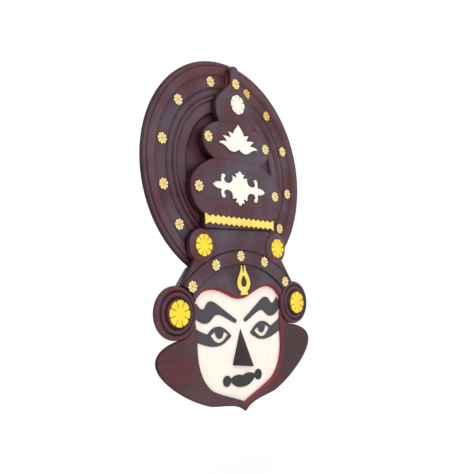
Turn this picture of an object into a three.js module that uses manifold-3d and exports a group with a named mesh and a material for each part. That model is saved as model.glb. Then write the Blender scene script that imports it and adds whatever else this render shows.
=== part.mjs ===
// Wall mask of layered wood: a turned halo, a tiered crown, a headband and a cut-out face.
// Millimetres, +Z up, the front looks along -Y and the flat back lies on the plane y = 0.
// The origin is the centre of the halo's flat back. Every level is a distance from the wall.
import * as THREE from 'three';
import { ConvexGeometry } from 'three/addons/geometries/ConvexGeometry.js';
import { mergeVertices } from 'three/addons/utils/BufferGeometryUtils.js';
import Module from 'manifold-3d';

const wasm = await Module();
wasm.setup();

// Fits: pieces glued face to face, pieces side by side, and the round cut beside an ear disc
const glueGap = 0.3;
const sideGap = 0.4;
const earGap = 0.6;

// Stock thicknesses
const baseThick = 14.2;
const crownThick = 13.5;
const hairThick = 4.8;
const foreheadThick = 7;
const bandThick = 2.4;
const bossThick = 4.6;
const earThick = 13.2;
const trimThick = 2.2;
const faceTrimThick = 1.8;
const noseRise = 5.4;
const boardBevel = 1.4;
const bandBevel = 0.5;

// Halo, a turned disc: its mouldings as widths inwards from its edge, and their levels
const haloRadius = 197.3;
const haloEdgeLow = 5.4;
const haloEdgeHigh = 8.4;
const haloUnderCut = 8;
const beadLevel = 11;
const rimRadius = haloRadius - 12;
const rimLevel = 13.8;
const rimWidth = 10.5;
const trackOuter = haloRadius - 26.3;
const trackInner = haloRadius - 48.3;
const trackLevel = 10.7;
const ribRadius = haloRadius - 65.3;
const ribWidth = 8;
const ribLevel = 13.8;
const ringRadius = haloRadius - 85.8;
const dishLevel = 8.8;
const rosetteRadius = 9.2;
const haloRosetteAngles = { left: [75.2, 42.5, 14, -12.3, -37.4], right: [71, 48.2, 20.4, -10, -37.2] };

// The headband's middle line lies this far below the halo's centre
const headDrop = 113.9;

// Crown plate: three tiers under a spire, half widths and heights above the headband line
const crownLean = 1.4;
const crownFootHalf = 86;
const tierStep = 0.7;
const tierLow = { foot: 32, half: 115.3, wide: 76.5, notchHalf: 59, notch: 129 };
const tierMiddle = { half: 84.8, wide: 162, notchHalf: 43.8, notch: 196 };
const highRise = 26.5;
const neckRise = 74;
const tierHigh = {
  half: 51.5, wide: tierMiddle.notch + highRise, neckHalf: 12.5, neck: tierMiddle.notch + neckRise,
};
const spireHalf = 11.5;
const shoulderRise = 20.5;
const knobRise = 12.5;
const spireShoulder = tierHigh.neck + shoulderRise;
const crownTop = spireShoulder + knobRise;
const knobHalf = 10;

// Headband, forehead and brow band
const headTop = 10.6;
const bossRadius = 28;
const sideCornerX = 140.5;
const sideCornerZ = -84;
const bandTop = -25.5;
const bandOuterRadius = 194;
const bandInnerTop = -50;
const bandInnerRadius = 158;
const hairlineDip = -109;
const hairlinePeakX = 70;
const hairlinePeakZ = -90.5;
const hairlineBevel = 4;

// The two sides, which were laid out by hand: ear discs, bosses and their flowers
const sides = {
  left: {
    sign: -1, earX: 149.3, earZ: -122.6, earRadius: 42.4, earFlower: 20.8,
    bossX: 92, bossZ: -17.4, bossFlower: 18.2,
  },
  right: {
    sign: 1, earX: 146.3, earZ: -123.6, earRadius: 40.3, earFlower: 19.9,
    bossX: 95, bossZ: -22, bossFlower: 17.3,
  },
};

// Face opening, hair and chin
const openingHalf = 105.5;
const openingWideZ = -185;
const openingTopZ = -137;
const jawX = 75;
const jawZ = -254;
const chinZ = -284;
const wingHalf = 190.5;
const wingZ = -196;
const hairJawX = 80;
const hairJawZ = -278;
const hairTipZ = -300;
const panelLap = 7;
const lugHalf = 130;
const panelChamfer = 6;
const shoulderX = 114.5;

// Looks
const looks = {
  lacquer: { color: 0x4a2a2c, roughness: 0.42, metalness: 0 },
  panel: { color: 0xf6eede, roughness: 0.55, metalness: 0 },
  slate: { color: 0x3c3d45, roughness: 0.5, metalness: 0 },
  dark: { color: 0x332320, roughness: 0.55, metalness: 0 },
  yellow: { color: 0xf2d312, roughness: 0.45, metalness: 0 },
  straw: { color: 0xf0d472, roughness: 0.5, metalness: 0 },
  pale: { color: 0xecd29a, roughness: 0.5, metalness: 0 },
  white: { color: 0xf7f2e6, roughness: 0.5, metalness: 0 },
};

// Levels worked out from the stock
const boardLevel = baseThick + glueGap;
const plateLevel = boardLevel + foreheadThick + glueGap;
const bossLevel = plateLevel + bandThick + glueGap;
for (const side of Object.values(sides)) {
  side.ear = new THREE.Vector2(side.earX, side.earZ);
  side.boss = new THREE.Vector2(side.bossX, side.bossZ);
  side.notch = side.earRadius + earGap;
}

const mask = new THREE.Group();
const head = new THREE.Group();
head.position.z = -headDrop;
mask.add(head);
const crown = new THREE.Group();
crown.position.z = -headDrop;
crown.rotation.y = THREE.MathUtils.degToRad(crownLean);
mask.add(crown);

// A point of the mirrored left side
const mirrored = (points) => points.map((p) => new THREE.Vector2(-p.x, p.y));

// Whole outline from its two halves, both drawn on the right from the bottom of the centre line to the top
function fromHalves(right, left) {
  const inner = left.filter((p) => Math.abs(p.x) > 1e-6);
  return [...right, ...mirrored(inner).reverse()];
}
const fromHalf = (points) => fromHalves(points, points);

// Drops points that repeat the one before them
function distinct(points) {
  return points.filter((p, i) => p.distanceTo(points[(i + points.length - 1) % points.length]) > 0.02);
}

// Outline moved inwards, each corner along its bisector, by one amount or an amount for each point.
// It runs anticlockwise round the material.
function inset(points, amount) {
  const count = points.length;
  return points.map((p, i) => {
    const along = p.clone().sub(points[(i + count - 1) % count]).normalize();
    const next = points[(i + 1) % count].clone().sub(p).normalize();
    const cut = typeof amount === 'function' ? amount(p) : amount;
    const reach = cut / Math.max(1 + along.dot(next), 0.5);
    return new THREE.Vector2(p.x - (along.y + next.y) * reach, p.y + (along.x + next.x) * reach);
  });
}

// Board of an outline with holes: straight walls, a bevel round the front face, a chamfer at the back
function board(outline, thick, { bevel = 0, depth = bevel, holes = [], chamfer = 0 } = {}) {
  const turned = (points, clockwise) =>
    THREE.ShapeUtils.isClockWise(points) === clockwise ? points : [...points].reverse();
  const contour = turned(distinct(outline), false);
  const openings = holes.map((hole) => turned(distinct(hole), true));
  const loops = [contour, ...openings];
  const front = depth > 0 ? [[thick - depth, 0], [thick, bevel]] : [[thick, 0]];
  const back = chamfer > 0 ? [[0, chamfer], [thick / 2, 0]] : [[0, 0]];
  const steps = [...back, ...front];
  const layers = steps.map(([height, cut]) =>
    loops.flatMap((loop) => inset(loop, cut).map((p) => [p.x, p.y, height])));
  const size = layers[0].length;
  const index = [];
  for (let k = 0; k + 1 < layers.length; k += 1) {
    let first = 0;
    for (const loop of loops) {
      loop.forEach((p, i) => {
        const a = k * size + first + i;
        const b = k * size + first + (i + 1) % loop.length;
        index.push(a, b, b + size, a, b + size, a + size);
      });
      first += loop.length;
    }
  }
  const top = (layers.length - 1) * size;
  for (const [a, b, c] of THREE.ShapeUtils.triangulateShape(contour, openings)) {
    index.push(c, b, a, top + a, top + b, top + c);
  }
  const geometry = new THREE.BufferGeometry();
  geometry.setAttribute('position', new THREE.Float32BufferAttribute(layers.flat(2), 3));
  geometry.setIndex(index);
  return geometry;
}

// Solids for joining, from closed geometry and back
function solid(geometry) {
  const bare = geometry.clone();
  bare.deleteAttribute('normal');
  bare.deleteAttribute('uv');
  const merged = mergeVertices(bare, 1e-4);
  return new wasm.Manifold(new wasm.Mesh({
    numProp: 3,
    vertProperties: new Float32Array(merged.attributes.position.array),
    triVerts: new Uint32Array(merged.index.array),
  }));
}

function geometryOf(body) {
  const mesh = body.getMesh();
  const geometry = new THREE.BufferGeometry();
  geometry.setAttribute('position', new THREE.Float32BufferAttribute(mesh.vertProperties, 3));
  geometry.setIndex([...mesh.triVerts]);
  return geometry;
}

// A cut-out piece stands on its back at the given level, its outline drawn in the X-Z plane
function place(group, name, geometry, look, level, x = 0, z = 0) {
  const piece = new THREE.Mesh(geometry, new THREE.MeshStandardMaterial(looks[look]));
  piece.name = name;
  piece.rotation.x = Math.PI / 2;
  piece.position.set(x, -level, z);
  group.add(piece);
}

// A turned piece, from its radius and level profile
function placeTurned(group, name, profile, segments, look, x = 0, z = 0) {
  const points = profile.map(([radius, level]) => new THREE.Vector2(radius, level));
  const piece = new THREE.Mesh(new THREE.LatheGeometry(points, segments),
    new THREE.MeshStandardMaterial(looks[look]));
  piece.name = name;
  piece.rotation.z = Math.PI;
  piece.position.set(x, 0, z);
  group.add(piece);
}

// Point at an angle in degrees on a circle, and the angle of a point seen from a centre
const onCircle = (centre, radius, angle) => new THREE.Vector2(
  centre.x + radius * Math.cos(THREE.MathUtils.degToRad(angle)),
  centre.y + radius * Math.sin(THREE.MathUtils.degToRad(angle)));
const angleOf = (centre, p) => Math.atan2(p.y - centre.y, p.x - centre.x);

// Where two circles meet, the higher of the two points
function circlesMeet(a, ra, b, rb) {
  const gap = b.clone().sub(a);
  const distance = gap.length();
  const along = (ra * ra - rb * rb + distance * distance) / (2 * distance);
  const across = Math.sqrt(ra * ra - along * along);
  const unit = gap.divideScalar(distance);
  const middle = a.clone().addScaledVector(unit, along);
  const one = new THREE.Vector2(middle.x - unit.y * across, middle.y + unit.x * across);
  const two = new THREE.Vector2(middle.x + unit.y * across, middle.y - unit.x * across);
  return one.y > two.y ? one : two;
}

// Where the way from a towards b first meets a circle
function lineMeets(a, b, centre, radius) {
  const unit = b.clone().sub(a).normalize();
  const reach = centre.clone().sub(a);
  const across = reach.x * unit.y - reach.y * unit.x;
  return a.clone().addScaledVector(unit, reach.dot(unit) - Math.sqrt(radius * radius - across * across));
}

// Halo
placeTurned(mask, 'halo', [
  [0, 0],
  [haloRadius - haloUnderCut, 0],
  [haloRadius, haloEdgeLow],
  [haloRadius, haloEdgeHigh],
  [haloRadius - 3.5, beadLevel],
  [haloRadius - 8.5, beadLevel],
  [rimRadius, rimLevel],
  [rimRadius - rimWidth, rimLevel],
  [trackOuter, trackLevel],
  [trackInner, trackLevel],
  [ribRadius + ribWidth / 2, trackLevel],
  [ribRadius, ribLevel],
  [ribRadius - ribWidth / 2, ribLevel - 1.6],
  [ringRadius + 3, baseThick],
  [ringRadius - 1, baseThick],
  [ringRadius - 4, dishLevel],
  [0, dishLevel],
], 56, 'lacquer');

// Flower outline: petals parted by slits, with a shallow dip in the middle of each rim
function flower(radius, petals, slitDepth, slitWidth, dip = 0) {
  const pitch = 2 * Math.PI / petals;
  const slit = slitWidth / radius / 2;
  const points = [];
  for (let k = 0; k < petals; k += 1) {
    const start = (k + 0.5) * pitch;
    const rim = [
      [slit, 0.95], [pitch * 0.26, 1], [pitch * 0.5, 1 - dip], [pitch * 0.74, 1], [pitch - slit, 0.95]];
    points.push(new THREE.Vector2(Math.cos(start), Math.sin(start)).multiplyScalar(radius - slitDepth));
    for (const [turn, share] of rim) {
      const angle = start + turn;
      points.push(new THREE.Vector2(Math.cos(angle), Math.sin(angle)).multiplyScalar(radius * share));
    }
  }
  return points;
}

// Small rosette: round petals that meet in shallow notches
function rosette(radius, petals = 8, notchShare = 0.8) {
  const points = [];
  for (let k = 0; k < petals; k += 1) {
    for (const [turn, share] of [[0, notchShare], [0.5, 1]]) {
      const angle = (k + turn) * 2 * Math.PI / petals;
      points.push(new THREE.Vector2(Math.cos(angle), Math.sin(angle)).multiplyScalar(radius * share));
    }
  }
  return points;
}

function placeRosette(group, name, level, x, z) {
  place(group, name, board(rosette(rosetteRadius), trimThick), 'pale', level, x, z);
}

const trackMiddle = (trackOuter + trackInner) / 2;
for (const [side, sign] of [['left', -1], ['right', 1]]) {
  haloRosetteAngles[side].forEach((degrees, k) => {
    const angle = THREE.MathUtils.degToRad(degrees);
    const x = sign * trackMiddle * Math.cos(angle);
    const z = trackMiddle * Math.sin(angle);
    placeRosette(mask, `halo_rosette_${side}_${k + 1}`, trackLevel + glueGap, x, z);
  });
}

// Crown plate: its foot is cut parallel to the headband although the crown leans
const lean = THREE.MathUtils.degToRad(crownLean);
const footAt = (x) => (headTop + sideGap + x * Math.sin(lean)) / Math.cos(lean);
const crownCurve = 5;

// Right edge of a tier from the notch below it to its widest point and on to the notch above it
function lobe(path, wideX, wideZ, outX, outZ, fromX, fromZ) {
  const below = wideZ - fromZ;
  const above = outZ - wideZ;
  path.bezierCurveTo(fromX + (wideX - fromX) * 0.58, fromZ + below * 0.16,
    wideX, wideZ - below * 0.48, wideX, wideZ);
  path.bezierCurveTo(wideX, wideZ + above * 0.47,
    outX + (wideX - outX) * 0.54, outZ - above * 0.22, outX, outZ);
}

function crownEdge(tiers) {
  const edge = new THREE.Path();
  edge.moveTo(crownFootHalf, footAt(crownFootHalf));
  edge.lineTo(crownFootHalf - 1, tierLow.foot);
  lobe(edge, tierLow.half, tierLow.wide, tierLow.notchHalf, tierLow.notch, crownFootHalf - 1, tierLow.foot);
  if (tiers > 1) {
    lobe(edge, tierMiddle.half, tierMiddle.wide, tierMiddle.notchHalf, tierMiddle.notch,
      tierLow.notchHalf, tierLow.notch);
  }
  if (tiers > 2) {
    const rise = tierHigh.neck - tierHigh.wide;
    edge.bezierCurveTo(tierHigh.half - 3, tierMiddle.notch + 7, tierHigh.half, tierHigh.wide - 10,
      tierHigh.half, tierHigh.wide);
    edge.bezierCurveTo(tierHigh.half, tierHigh.wide + rise * 0.38, tierHigh.neckHalf * 2.1,
      tierHigh.wide + rise * 0.67, tierHigh.neckHalf, tierHigh.neck);
    edge.bezierCurveTo(spireHalf, tierHigh.neck + 7, spireHalf - 0.5, spireShoulder - 6,
      spireHalf, spireShoulder);
    edge.lineTo(knobHalf, spireShoulder + 6);
    edge.bezierCurveTo(knobHalf - 1, crownTop - 1.4, knobHalf / 2, crownTop, 0, crownTop);
  }
  return edge.getPoints(crownCurve);
}

// Outline of the crown up to the top of a tier; a lower tier ends in a shallow arc
function crownOutline(tiers) {
  const right = crownEdge(tiers);
  const left = mirrored(right).reverse();
  left[left.length - 1].y = footAt(-crownFootHalf);
  const across = [];
  if (tiers < 3) {
    const notch = right[right.length - 1];
    for (let k = 1; k < 6; k += 1) {
      const x = notch.x * (1 - k / 3);
      across.push(new THREE.Vector2(x, notch.y + 4 * (1 - (x / notch.x) ** 2)));
    }
  }
  return [...right, ...across, ...left];
}

const crownTiers = [3, 2, 1].map((tiers, k) =>
  solid(board(crownOutline(tiers), crownThick - (2 - k) * tierStep, { bevel: boardBevel })));
place(crown, 'crown_plate', geometryOf(wasm.Manifold.union(crownTiers)), 'lacquer', boardLevel);
const tierFront = [2, 1, 0].map((steps) => boardLevel + crownThick - steps * tierStep + glueGap);

// Ornaments of the crown
const crownFlowerRadius = 17.3;
const crownFlowerX = 3.2;
const crownFlowerRise = 10.7;
placeRosette(crown, 'spire_rosette', tierFront[0], 0, tierHigh.neck);
place(crown, 'crown_flower', board(flower(crownFlowerRadius, 8, 9, 1.2), trimThick),
  'white', tierFront[0], crownFlowerX, tierHigh.wide + crownFlowerRise);
for (const [side, sign] of [['left', -1], ['right', 1]]) {
  placeRosette(crown, `middle_tier_rosette_${side}`, tierFront[1],
    sign * (tierMiddle.half - 11.5) + 0.5, tierMiddle.wide + 1.3);
  placeRosette(crown, `low_tier_rosette_${side}`, tierFront[2],
    sign * (tierLow.half - 18.3) - 1.3, tierLow.wide + 0.3);
}

// Lotus: a tall middle petal, three smaller petals a side and a two-lobed base, in shares of its size
const lotusHalf = 50;
const lotusHeight = 50.5;
const lotusFoot = 145.6;
const lotusX = 1.1;
function lotusOutline() {
  const edge = new THREE.Path();
  const at = (x, z) => [x * lotusHalf, z * lotusHeight];
  edge.moveTo(...at(0, 1));
  edge.quadraticCurveTo(...at(0.07, 0.93), ...at(0.15, 0.84));
  edge.quadraticCurveTo(...at(0.25, 0.74), ...at(0.27, 0.64));
  edge.lineTo(...at(0.52, 0.685));
  edge.lineTo(...at(0.39, 0.47));
  edge.quadraticCurveTo(...at(0.6, 0.52), ...at(0.8, 0.5));
  edge.quadraticCurveTo(...at(0.68, 0.42), ...at(0.585, 0.315));
  edge.quadraticCurveTo(...at(0.88, 0.34), ...at(1, 0.225));
  edge.quadraticCurveTo(...at(0.74, 0.22), ...at(0.58, 0.09));
  edge.quadraticCurveTo(...at(0.28, -0.1), ...at(0, 0.125));
  return fromHalf(edge.getPoints(3).reverse());
}
place(crown, 'lotus_ornament', board(lotusOutline(), trimThick), 'white',
  tierFront[1], lotusX, lotusFoot);

// Fleur ornament: one quarter of its outline, from the top lobe to the side tip
const fleurHalf = 66.3;
const fleurRise = 30.3;
const fleurX = -0.6;
const fleurZ = 82.2;
const fleurTilt = 1.2;
function fleurOutline() {
  const edge = new THREE.Path();
  edge.moveTo(0, fleurRise);
  edge.quadraticCurveTo(4.4, fleurRise - 1, 4.8, fleurRise - 5);
  edge.lineTo(11.5, fleurRise - 4.6);
  edge.quadraticCurveTo(9.4, fleurRise - 8, 8.2, fleurRise - 12.4);
  edge.lineTo(18.5, fleurRise - 10);
  edge.quadraticCurveTo(17.8, 13, 20.5, 10);
  edge.quadraticCurveTo(24, 6, 31.3, 6);
  edge.quadraticCurveTo(40, 6.3, 40, 12.6);
  edge.lineTo(36.2, 17.6);
  edge.quadraticCurveTo(38.5, 21.4, 43, 20.4);
  edge.quadraticCurveTo(48, 17, 46.2, 5.8);
  edge.quadraticCurveTo(58, 7.6, fleurHalf, 0);
  const quarter = edge.getPoints(2);
  const low = quarter.slice(0, -1).reverse().map((p) => new THREE.Vector2(p.x, -p.y));
  return fromHalf([...quarter, ...low].reverse());
}

// Outline turned clockwise about its own middle
function tilted(points, degrees) {
  const origin = new THREE.Vector2();
  return points.map((p) => p.clone().rotateAround(origin, -THREE.MathUtils.degToRad(degrees)));
}
place(crown, 'fleur_ornament', board(tilted(fleurOutline(), fleurTilt), trimThick), 'white',
  tierFront[2], fleurX, fleurZ);

// Zigzag strip along the crown's foot: toothed edges and flared ends
const stripHalf = 87;
const stripZ = headTop + 12.4;
const stripTilt = 0.7;
const stripTeeth = 12;
const stripPeak = 8.4;
const stripValley = 4.6;
const stripFlare = 9.8;
const stripEnd = 11;
function stripOutline() {
  const edge = [new THREE.Vector2(stripHalf, -stripFlare), new THREE.Vector2(stripHalf, stripFlare)];
  const pitch = 2 * (stripHalf - stripEnd) / stripTeeth;
  for (let k = 0; k <= 2 * stripTeeth; k += 1) {
    const x = stripHalf - stripEnd - k * pitch / 2;
    edge.push(new THREE.Vector2(x, k % 2 ? stripPeak : stripValley));
  }
  edge.push(new THREE.Vector2(-stripHalf, stripFlare), new THREE.Vector2(-stripHalf, -stripFlare));
  for (let k = 2 * stripTeeth; k >= 0; k -= 1) {
    const x = stripHalf - stripEnd - k * pitch / 2;
    edge.push(new THREE.Vector2(x, k % 2 ? -stripPeak : -stripValley));
  }
  return edge;
}
place(crown, 'zigzag_strip', board(tilted(stripOutline(), stripTilt), trimThick), 'straw',
  tierFront[2], 0, stripZ);

// Head: the side line of the boards, from the ear cut up the slant, round the boss and to the top
const bossFoot = -50;
const bossHead = 80;
const slantTop = (side) => onCircle(side.boss, bossRadius, bossFoot);
const sideCorner = new THREE.Vector2(sideCornerX, sideCornerZ);
const slantFoot = (side) => lineMeets(slantTop(side), sideCorner, side.ear, side.notch);
function addSideLine(edge, side) {
  edge.absarc(side.boss.x, side.boss.y, bossRadius, THREE.MathUtils.degToRad(bossFoot),
    THREE.MathUtils.degToRad(bossHead), false);
  edge.lineTo(side.boss.x - 11, headTop);
  edge.lineTo(0, headTop);
}

// Arc of the ear cut from one point to another
function addEarCut(edge, side, from, to, clockwise) {
  edge.absarc(side.ear.x, side.ear.y, side.notch, angleOf(side.ear, from), angleOf(side.ear, to), clockwise);
}

// Forehead board: hairline below, round cuts for the ear discs
const hairlineEnd = (side) => onCircle(side.ear, side.notch, 161);
function foreheadHalf(side) {
  const end = hairlineEnd(side);
  const edge = new THREE.Path();
  edge.moveTo(0, hairlineDip);
  edge.bezierCurveTo(hairlinePeakX * 0.34, hairlineDip, hairlinePeakX * 0.57, hairlinePeakZ,
    hairlinePeakX, hairlinePeakZ);
  edge.bezierCurveTo(hairlinePeakX + 20, hairlinePeakZ, end.x - 11, end.y + 12, end.x, end.y);
  addEarCut(edge, side, end, slantFoot(side), true);
  addSideLine(edge, side);
  return edge.getPoints(5);
}
const foreheadOutline = () => fromHalves(foreheadHalf(sides.right), foreheadHalf(sides.left));
const onHairline = (p) => p.y < hairlinePeakZ + 2 && Math.abs(p.x) < hairlineEnd(sides.right).x - 1;
const foreheadBevel = (p) => (onHairline(p) ? hairlineBevel : boardBevel);
place(head, 'forehead_board',
  board(foreheadOutline(), foreheadThick, { bevel: foreheadBevel, depth: hairlineBevel }),
  'lacquer', boardLevel);

// The brow band's outer arc ends on the ear cut, or on the slant where a flatter arc reaches that first
const bandOuter = new THREE.Vector2(0, bandTop - bandOuterRadius);
const bandInner = new THREE.Vector2(0, bandInnerTop - bandInnerRadius);
function bandEnd(side, radius) {
  const foot = slantFoot(side);
  const onCut = circlesMeet(bandOuter, radius, side.ear, side.notch);
  if (angleOf(side.ear, onCut) > angleOf(side.ear, foot)) return { end: onCut, cutEnd: onCut };
  return { end: lineMeets(slantTop(side), sideCorner, bandOuter, radius), cutEnd: foot };
}

// Headband plate above that arc
function headbandHalf(side) {
  const radius = bandOuterRadius + sideGap / 2;
  const { end, cutEnd } = bandEnd(side, radius);
  const edge = new THREE.Path();
  edge.absarc(bandOuter.x, bandOuter.y, radius, Math.PI / 2, angleOf(bandOuter, end), true);
  if (end === cutEnd) addEarCut(edge, side, end, slantFoot(side), true);
  addSideLine(edge, side);
  return edge.getPoints(5);
}
place(head, 'headband_plate', board(fromHalves(headbandHalf(sides.right), headbandHalf(sides.left)),
  bandThick, { bevel: bandBevel }), 'lacquer', plateLevel);

// Brow band between the two arcs
function browBandHalf(side) {
  const radius = bandOuterRadius - sideGap / 2;
  const { end, cutEnd } = bandEnd(side, radius);
  const low = circlesMeet(bandInner, bandInnerRadius, side.ear, side.notch);
  const edge = new THREE.Path();
  edge.absarc(bandInner.x, bandInner.y, bandInnerRadius, Math.PI / 2, angleOf(bandInner, low), true);
  addEarCut(edge, side, low, cutEnd, true);
  edge.absarc(bandOuter.x, bandOuter.y, radius, angleOf(bandOuter, end), Math.PI / 2, false);
  return edge.getPoints(5);
}
place(head, 'brow_band', board(fromHalves(browBandHalf(sides.right), browBandHalf(sides.left)),
  bandThick, { bevel: bandBevel }), 'lacquer', plateLevel);

// Rosettes on the brow band, laid by hand between the arcs
const browRosettes = {
  middle: [-0.8, -35.4],
  inner_left: [-62.4, -50.1],
  inner_right: [61.2, -46.3],
  outer_left: [-117, -83.4],
  outer_right: [118.5, -84],
};
for (const [spot, [x, z]] of Object.entries(browRosettes)) {
  placeRosette(head, `brow_rosette_${spot}`, bossLevel, x, z);
}

// Upper bosses, low domes, and their flowers
for (const [name, side] of Object.entries(sides)) {
  placeTurned(head, `upper_boss_${name}`, [
    [0, bossLevel],
    [bossRadius, bossLevel],
    [bossRadius, bossLevel + 1],
    [bossRadius - 3.5, bossLevel + bossThick - 1.6],
    [bossRadius - 8.5, bossLevel + bossThick],
    [0, bossLevel + bossThick],
  ], 32, 'lacquer', side.sign * side.bossX, side.bossZ);
  place(head, `boss_flower_${name}`, board(flower(side.bossFlower, 9, 9, 1.2), trimThick),
    'yellow', bossLevel + bossThick + glueGap, side.sign * side.bossX, side.bossZ);
}

// Ear discs: two stepped mouldings round a raised hub that carries the flower
const earFront = boardLevel + earThick;
const earFlowerDrop = 0.8;
for (const [name, side] of Object.entries(sides)) {
  placeTurned(head, `ear_disc_${name}`, [
    [0, boardLevel],
    [side.earRadius, boardLevel],
    [side.earRadius, boardLevel + earThick * 0.48],
    [side.earRadius * 0.92, boardLevel + earThick * 0.74],
    [side.earRadius * 0.84, boardLevel + earThick * 0.74],
    [side.earRadius * 0.79, boardLevel + earThick * 0.54],
    [side.earRadius * 0.67, boardLevel + earThick * 0.82],
    [side.earRadius * 0.56, boardLevel + earThick * 0.66],
    [side.earRadius * 0.52, earFront],
    [0, earFront],
  ], 28, 'lacquer', side.sign * side.earX, side.earZ);
  place(head, `ear_flower_${name}`, board(flower(side.earFlower, 8, 9.5, 1.3, 0.03), trimThick),
    'yellow', earFront + glueGap, side.sign * side.earX, side.earZ - earFlowerDrop);
}

// Face opening: one side from the chin up to the ear cut
const openingTop = (side) => new THREE.Vector2(
  side.ear.x - Math.sqrt(side.notch ** 2 - (openingTopZ - side.ear.y) ** 2), openingTopZ);
function openingHalfEdge(side) {
  const top = openingTop(side);
  const edge = new THREE.Path();
  edge.moveTo(0, chinZ);
  edge.bezierCurveTo(jawX * 0.27, chinZ + 10, jawX * 0.67, jawZ - 13, jawX, jawZ);
  edge.bezierCurveTo(jawX + 22, jawZ + 16, openingHalf, openingWideZ - 30, openingHalf, openingWideZ);
  edge.bezierCurveTo(openingHalf, openingWideZ + 17, top.x - 3, top.y - 13, top.x, top.y);
  return edge.getPoints(6);
}

// Hair frame: a U with a wing under each ear and a pointed chin
function hairHalf(side) {
  const root = onCircle(side.ear, side.notch, 264);
  const edge = new THREE.Path();
  addEarCut(edge, side, openingTop(side), root, false);
  edge.bezierCurveTo(root.x + 22, root.y - 4, wingHalf, wingZ + 18, wingHalf, wingZ);
  edge.bezierCurveTo(wingHalf, wingZ - 26, hairJawX + 50, hairJawZ + 16, hairJawX, hairJawZ);
  edge.bezierCurveTo(hairJawX * 0.6, hairJawZ - 6, hairJawX * 0.2, hairJawZ - 6, 0, hairTipZ);
  return [...openingHalfEdge(side), ...edge.getPoints(5)];
}
place(head, 'hair_frame', board(fromHalves(hairHalf(sides.right), hairHalf(sides.left)), hairThick,
  { bevel: boardBevel }), 'lacquer', boardLevel);

// Face panel: it laps under the hair, reaches behind the ears and follows the slant to the halo's edge
function panelHalf(side) {
  const opening = openingHalfEdge(side);
  const lap = inset(fromHalf(opening), -panelLap);
  const flank = lap.slice(0, opening.length).filter((p) => p.x >= 0 && p.y < openingTopZ - 25);
  flank.unshift(new THREE.Vector2(0, chinZ - panelLap - 0.5));
  const clear = haloRadius + sideGap;
  const start = Math.atan2(-Math.sqrt(clear ** 2 - shoulderX ** 2), shoulderX);
  const edge = new THREE.Path();
  edge.moveTo(lugHalf, side.ear.y - 26);
  edge.lineTo(sideCornerX - 1.5, sideCornerZ - 20);
  edge.lineTo(sideCornerX - 1.5, sideCornerZ);
  edge.absarc(0, headDrop, clear, start, -Math.PI / 2, true);
  return [...flank, ...edge.getPoints(5)];
}
place(head, 'face_panel', board(fromHalves(panelHalf(sides.right), panelHalf(sides.left)), baseThick,
  { chamfer: panelChamfer }), 'panel', 0);

// Painted features, each a thin cut-out on the panel
const panelFront = baseThick + glueGap;

// Points inside the ear disc's clearance are moved out to its circle
function clearOfEar(points, side) {
  return points.map((p) => {
    const away = p.clone().sub(side.ear);
    return away.length() < side.notch ? side.ear.clone().addScaledVector(away.normalize(), side.notch) : p;
  });
}

function browOutline(side) {
  const edge = new THREE.Path();
  edge.moveTo(9.6, -144);
  edge.quadraticCurveTo(9, -150, 14, -149.2);
  edge.bezierCurveTo(32, -142, 44, -132.2, 56.5, -132.2);
  edge.bezierCurveTo(66, -132.2, 70, -144.5, 82, -144.5);
  edge.bezierCurveTo(92, -144.5, 99, -140, 105, -134);
  edge.lineTo(108, -126);
  edge.lineTo(105.5, -117);
  edge.lineTo(101.5, -111);
  edge.quadraticCurveTo(95, -121.3, 88, -121.3);
  edge.bezierCurveTo(81, -121.3, 81, -109.2, 69.5, -109.2);
  edge.bezierCurveTo(60, -109.2, 54, -116.5, 9.6, -144);
  return clearOfEar(edge.getPoints(5), side);
}

const eyeTail = openingHalf - sideGap;
function eyeOutline() {
  const edge = new THREE.Path();
  edge.moveTo(24, -169.8);
  edge.bezierCurveTo(33, -177, 45, -184, 59.5, -184);
  edge.bezierCurveTo(78, -184, 90, -178, eyeTail, -172.8);
  edge.lineTo(eyeTail, -151);
  edge.quadraticCurveTo(93, -158.5, 80, -162.2);
  edge.bezierCurveTo(71, -155, 65, -151.8, 55.7, -151.8);
  edge.bezierCurveTo(44, -151.8, 34, -160, 24, -169.8);
  return edge.getPoints(5);
}

// White of the eye: a crescent under the iris, widest at its ends
function crescentOutline() {
  const edge = new THREE.Path();
  edge.moveTo(72.3, -165.2);
  edge.bezierCurveTo(67, -172.5, 61, -177.6, 54.7, -177.6);
  edge.bezierCurveTo(47, -177.6, 41, -171.5, 35.3, -166.8);
  edge.lineTo(41.6, -162.6);
  edge.bezierCurveTo(43.5, -180, 64, -180, 66, -161);
  return edge.getPoints(5);
}

for (const [name, side] of Object.entries(sides)) {
  const facing = (points) => points.map((p) => new THREE.Vector2(side.sign * p.x, p.y));
  place(head, `brow_${name}`, board(facing(browOutline(side)), faceTrimThick), 'slate', panelFront);
  const eye = board(facing(eyeOutline()), faceTrimThick, { holes: [facing(crescentOutline())] });
  place(head, `eye_${name}`, eye, 'slate', panelFront);
}

// Nose: a wedge that rises from its apex to its base, which was sawn at a slant
const noseTop = -160;
const noseBase = -223.8;
const noseHalf = 24.5;
const noseMiddle = 1.3;
const noseSlant = 4.1;
const noseStart = 0.8;
const noseCorners = [
  [0, noseTop, 0],
  [noseMiddle - noseHalf, noseBase + noseSlant, 0],
  [noseMiddle + noseHalf, noseBase - noseSlant, 0],
  [0, noseTop, noseStart],
  [noseMiddle - noseHalf, noseBase + noseSlant, noseRise],
  [noseMiddle + noseHalf, noseBase - noseSlant, noseRise],
].map(([x, z, rise]) => new THREE.Vector3(x, z, rise));
place(head, 'nose', new ConvexGeometry(noseCorners), 'dark', panelFront);

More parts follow.
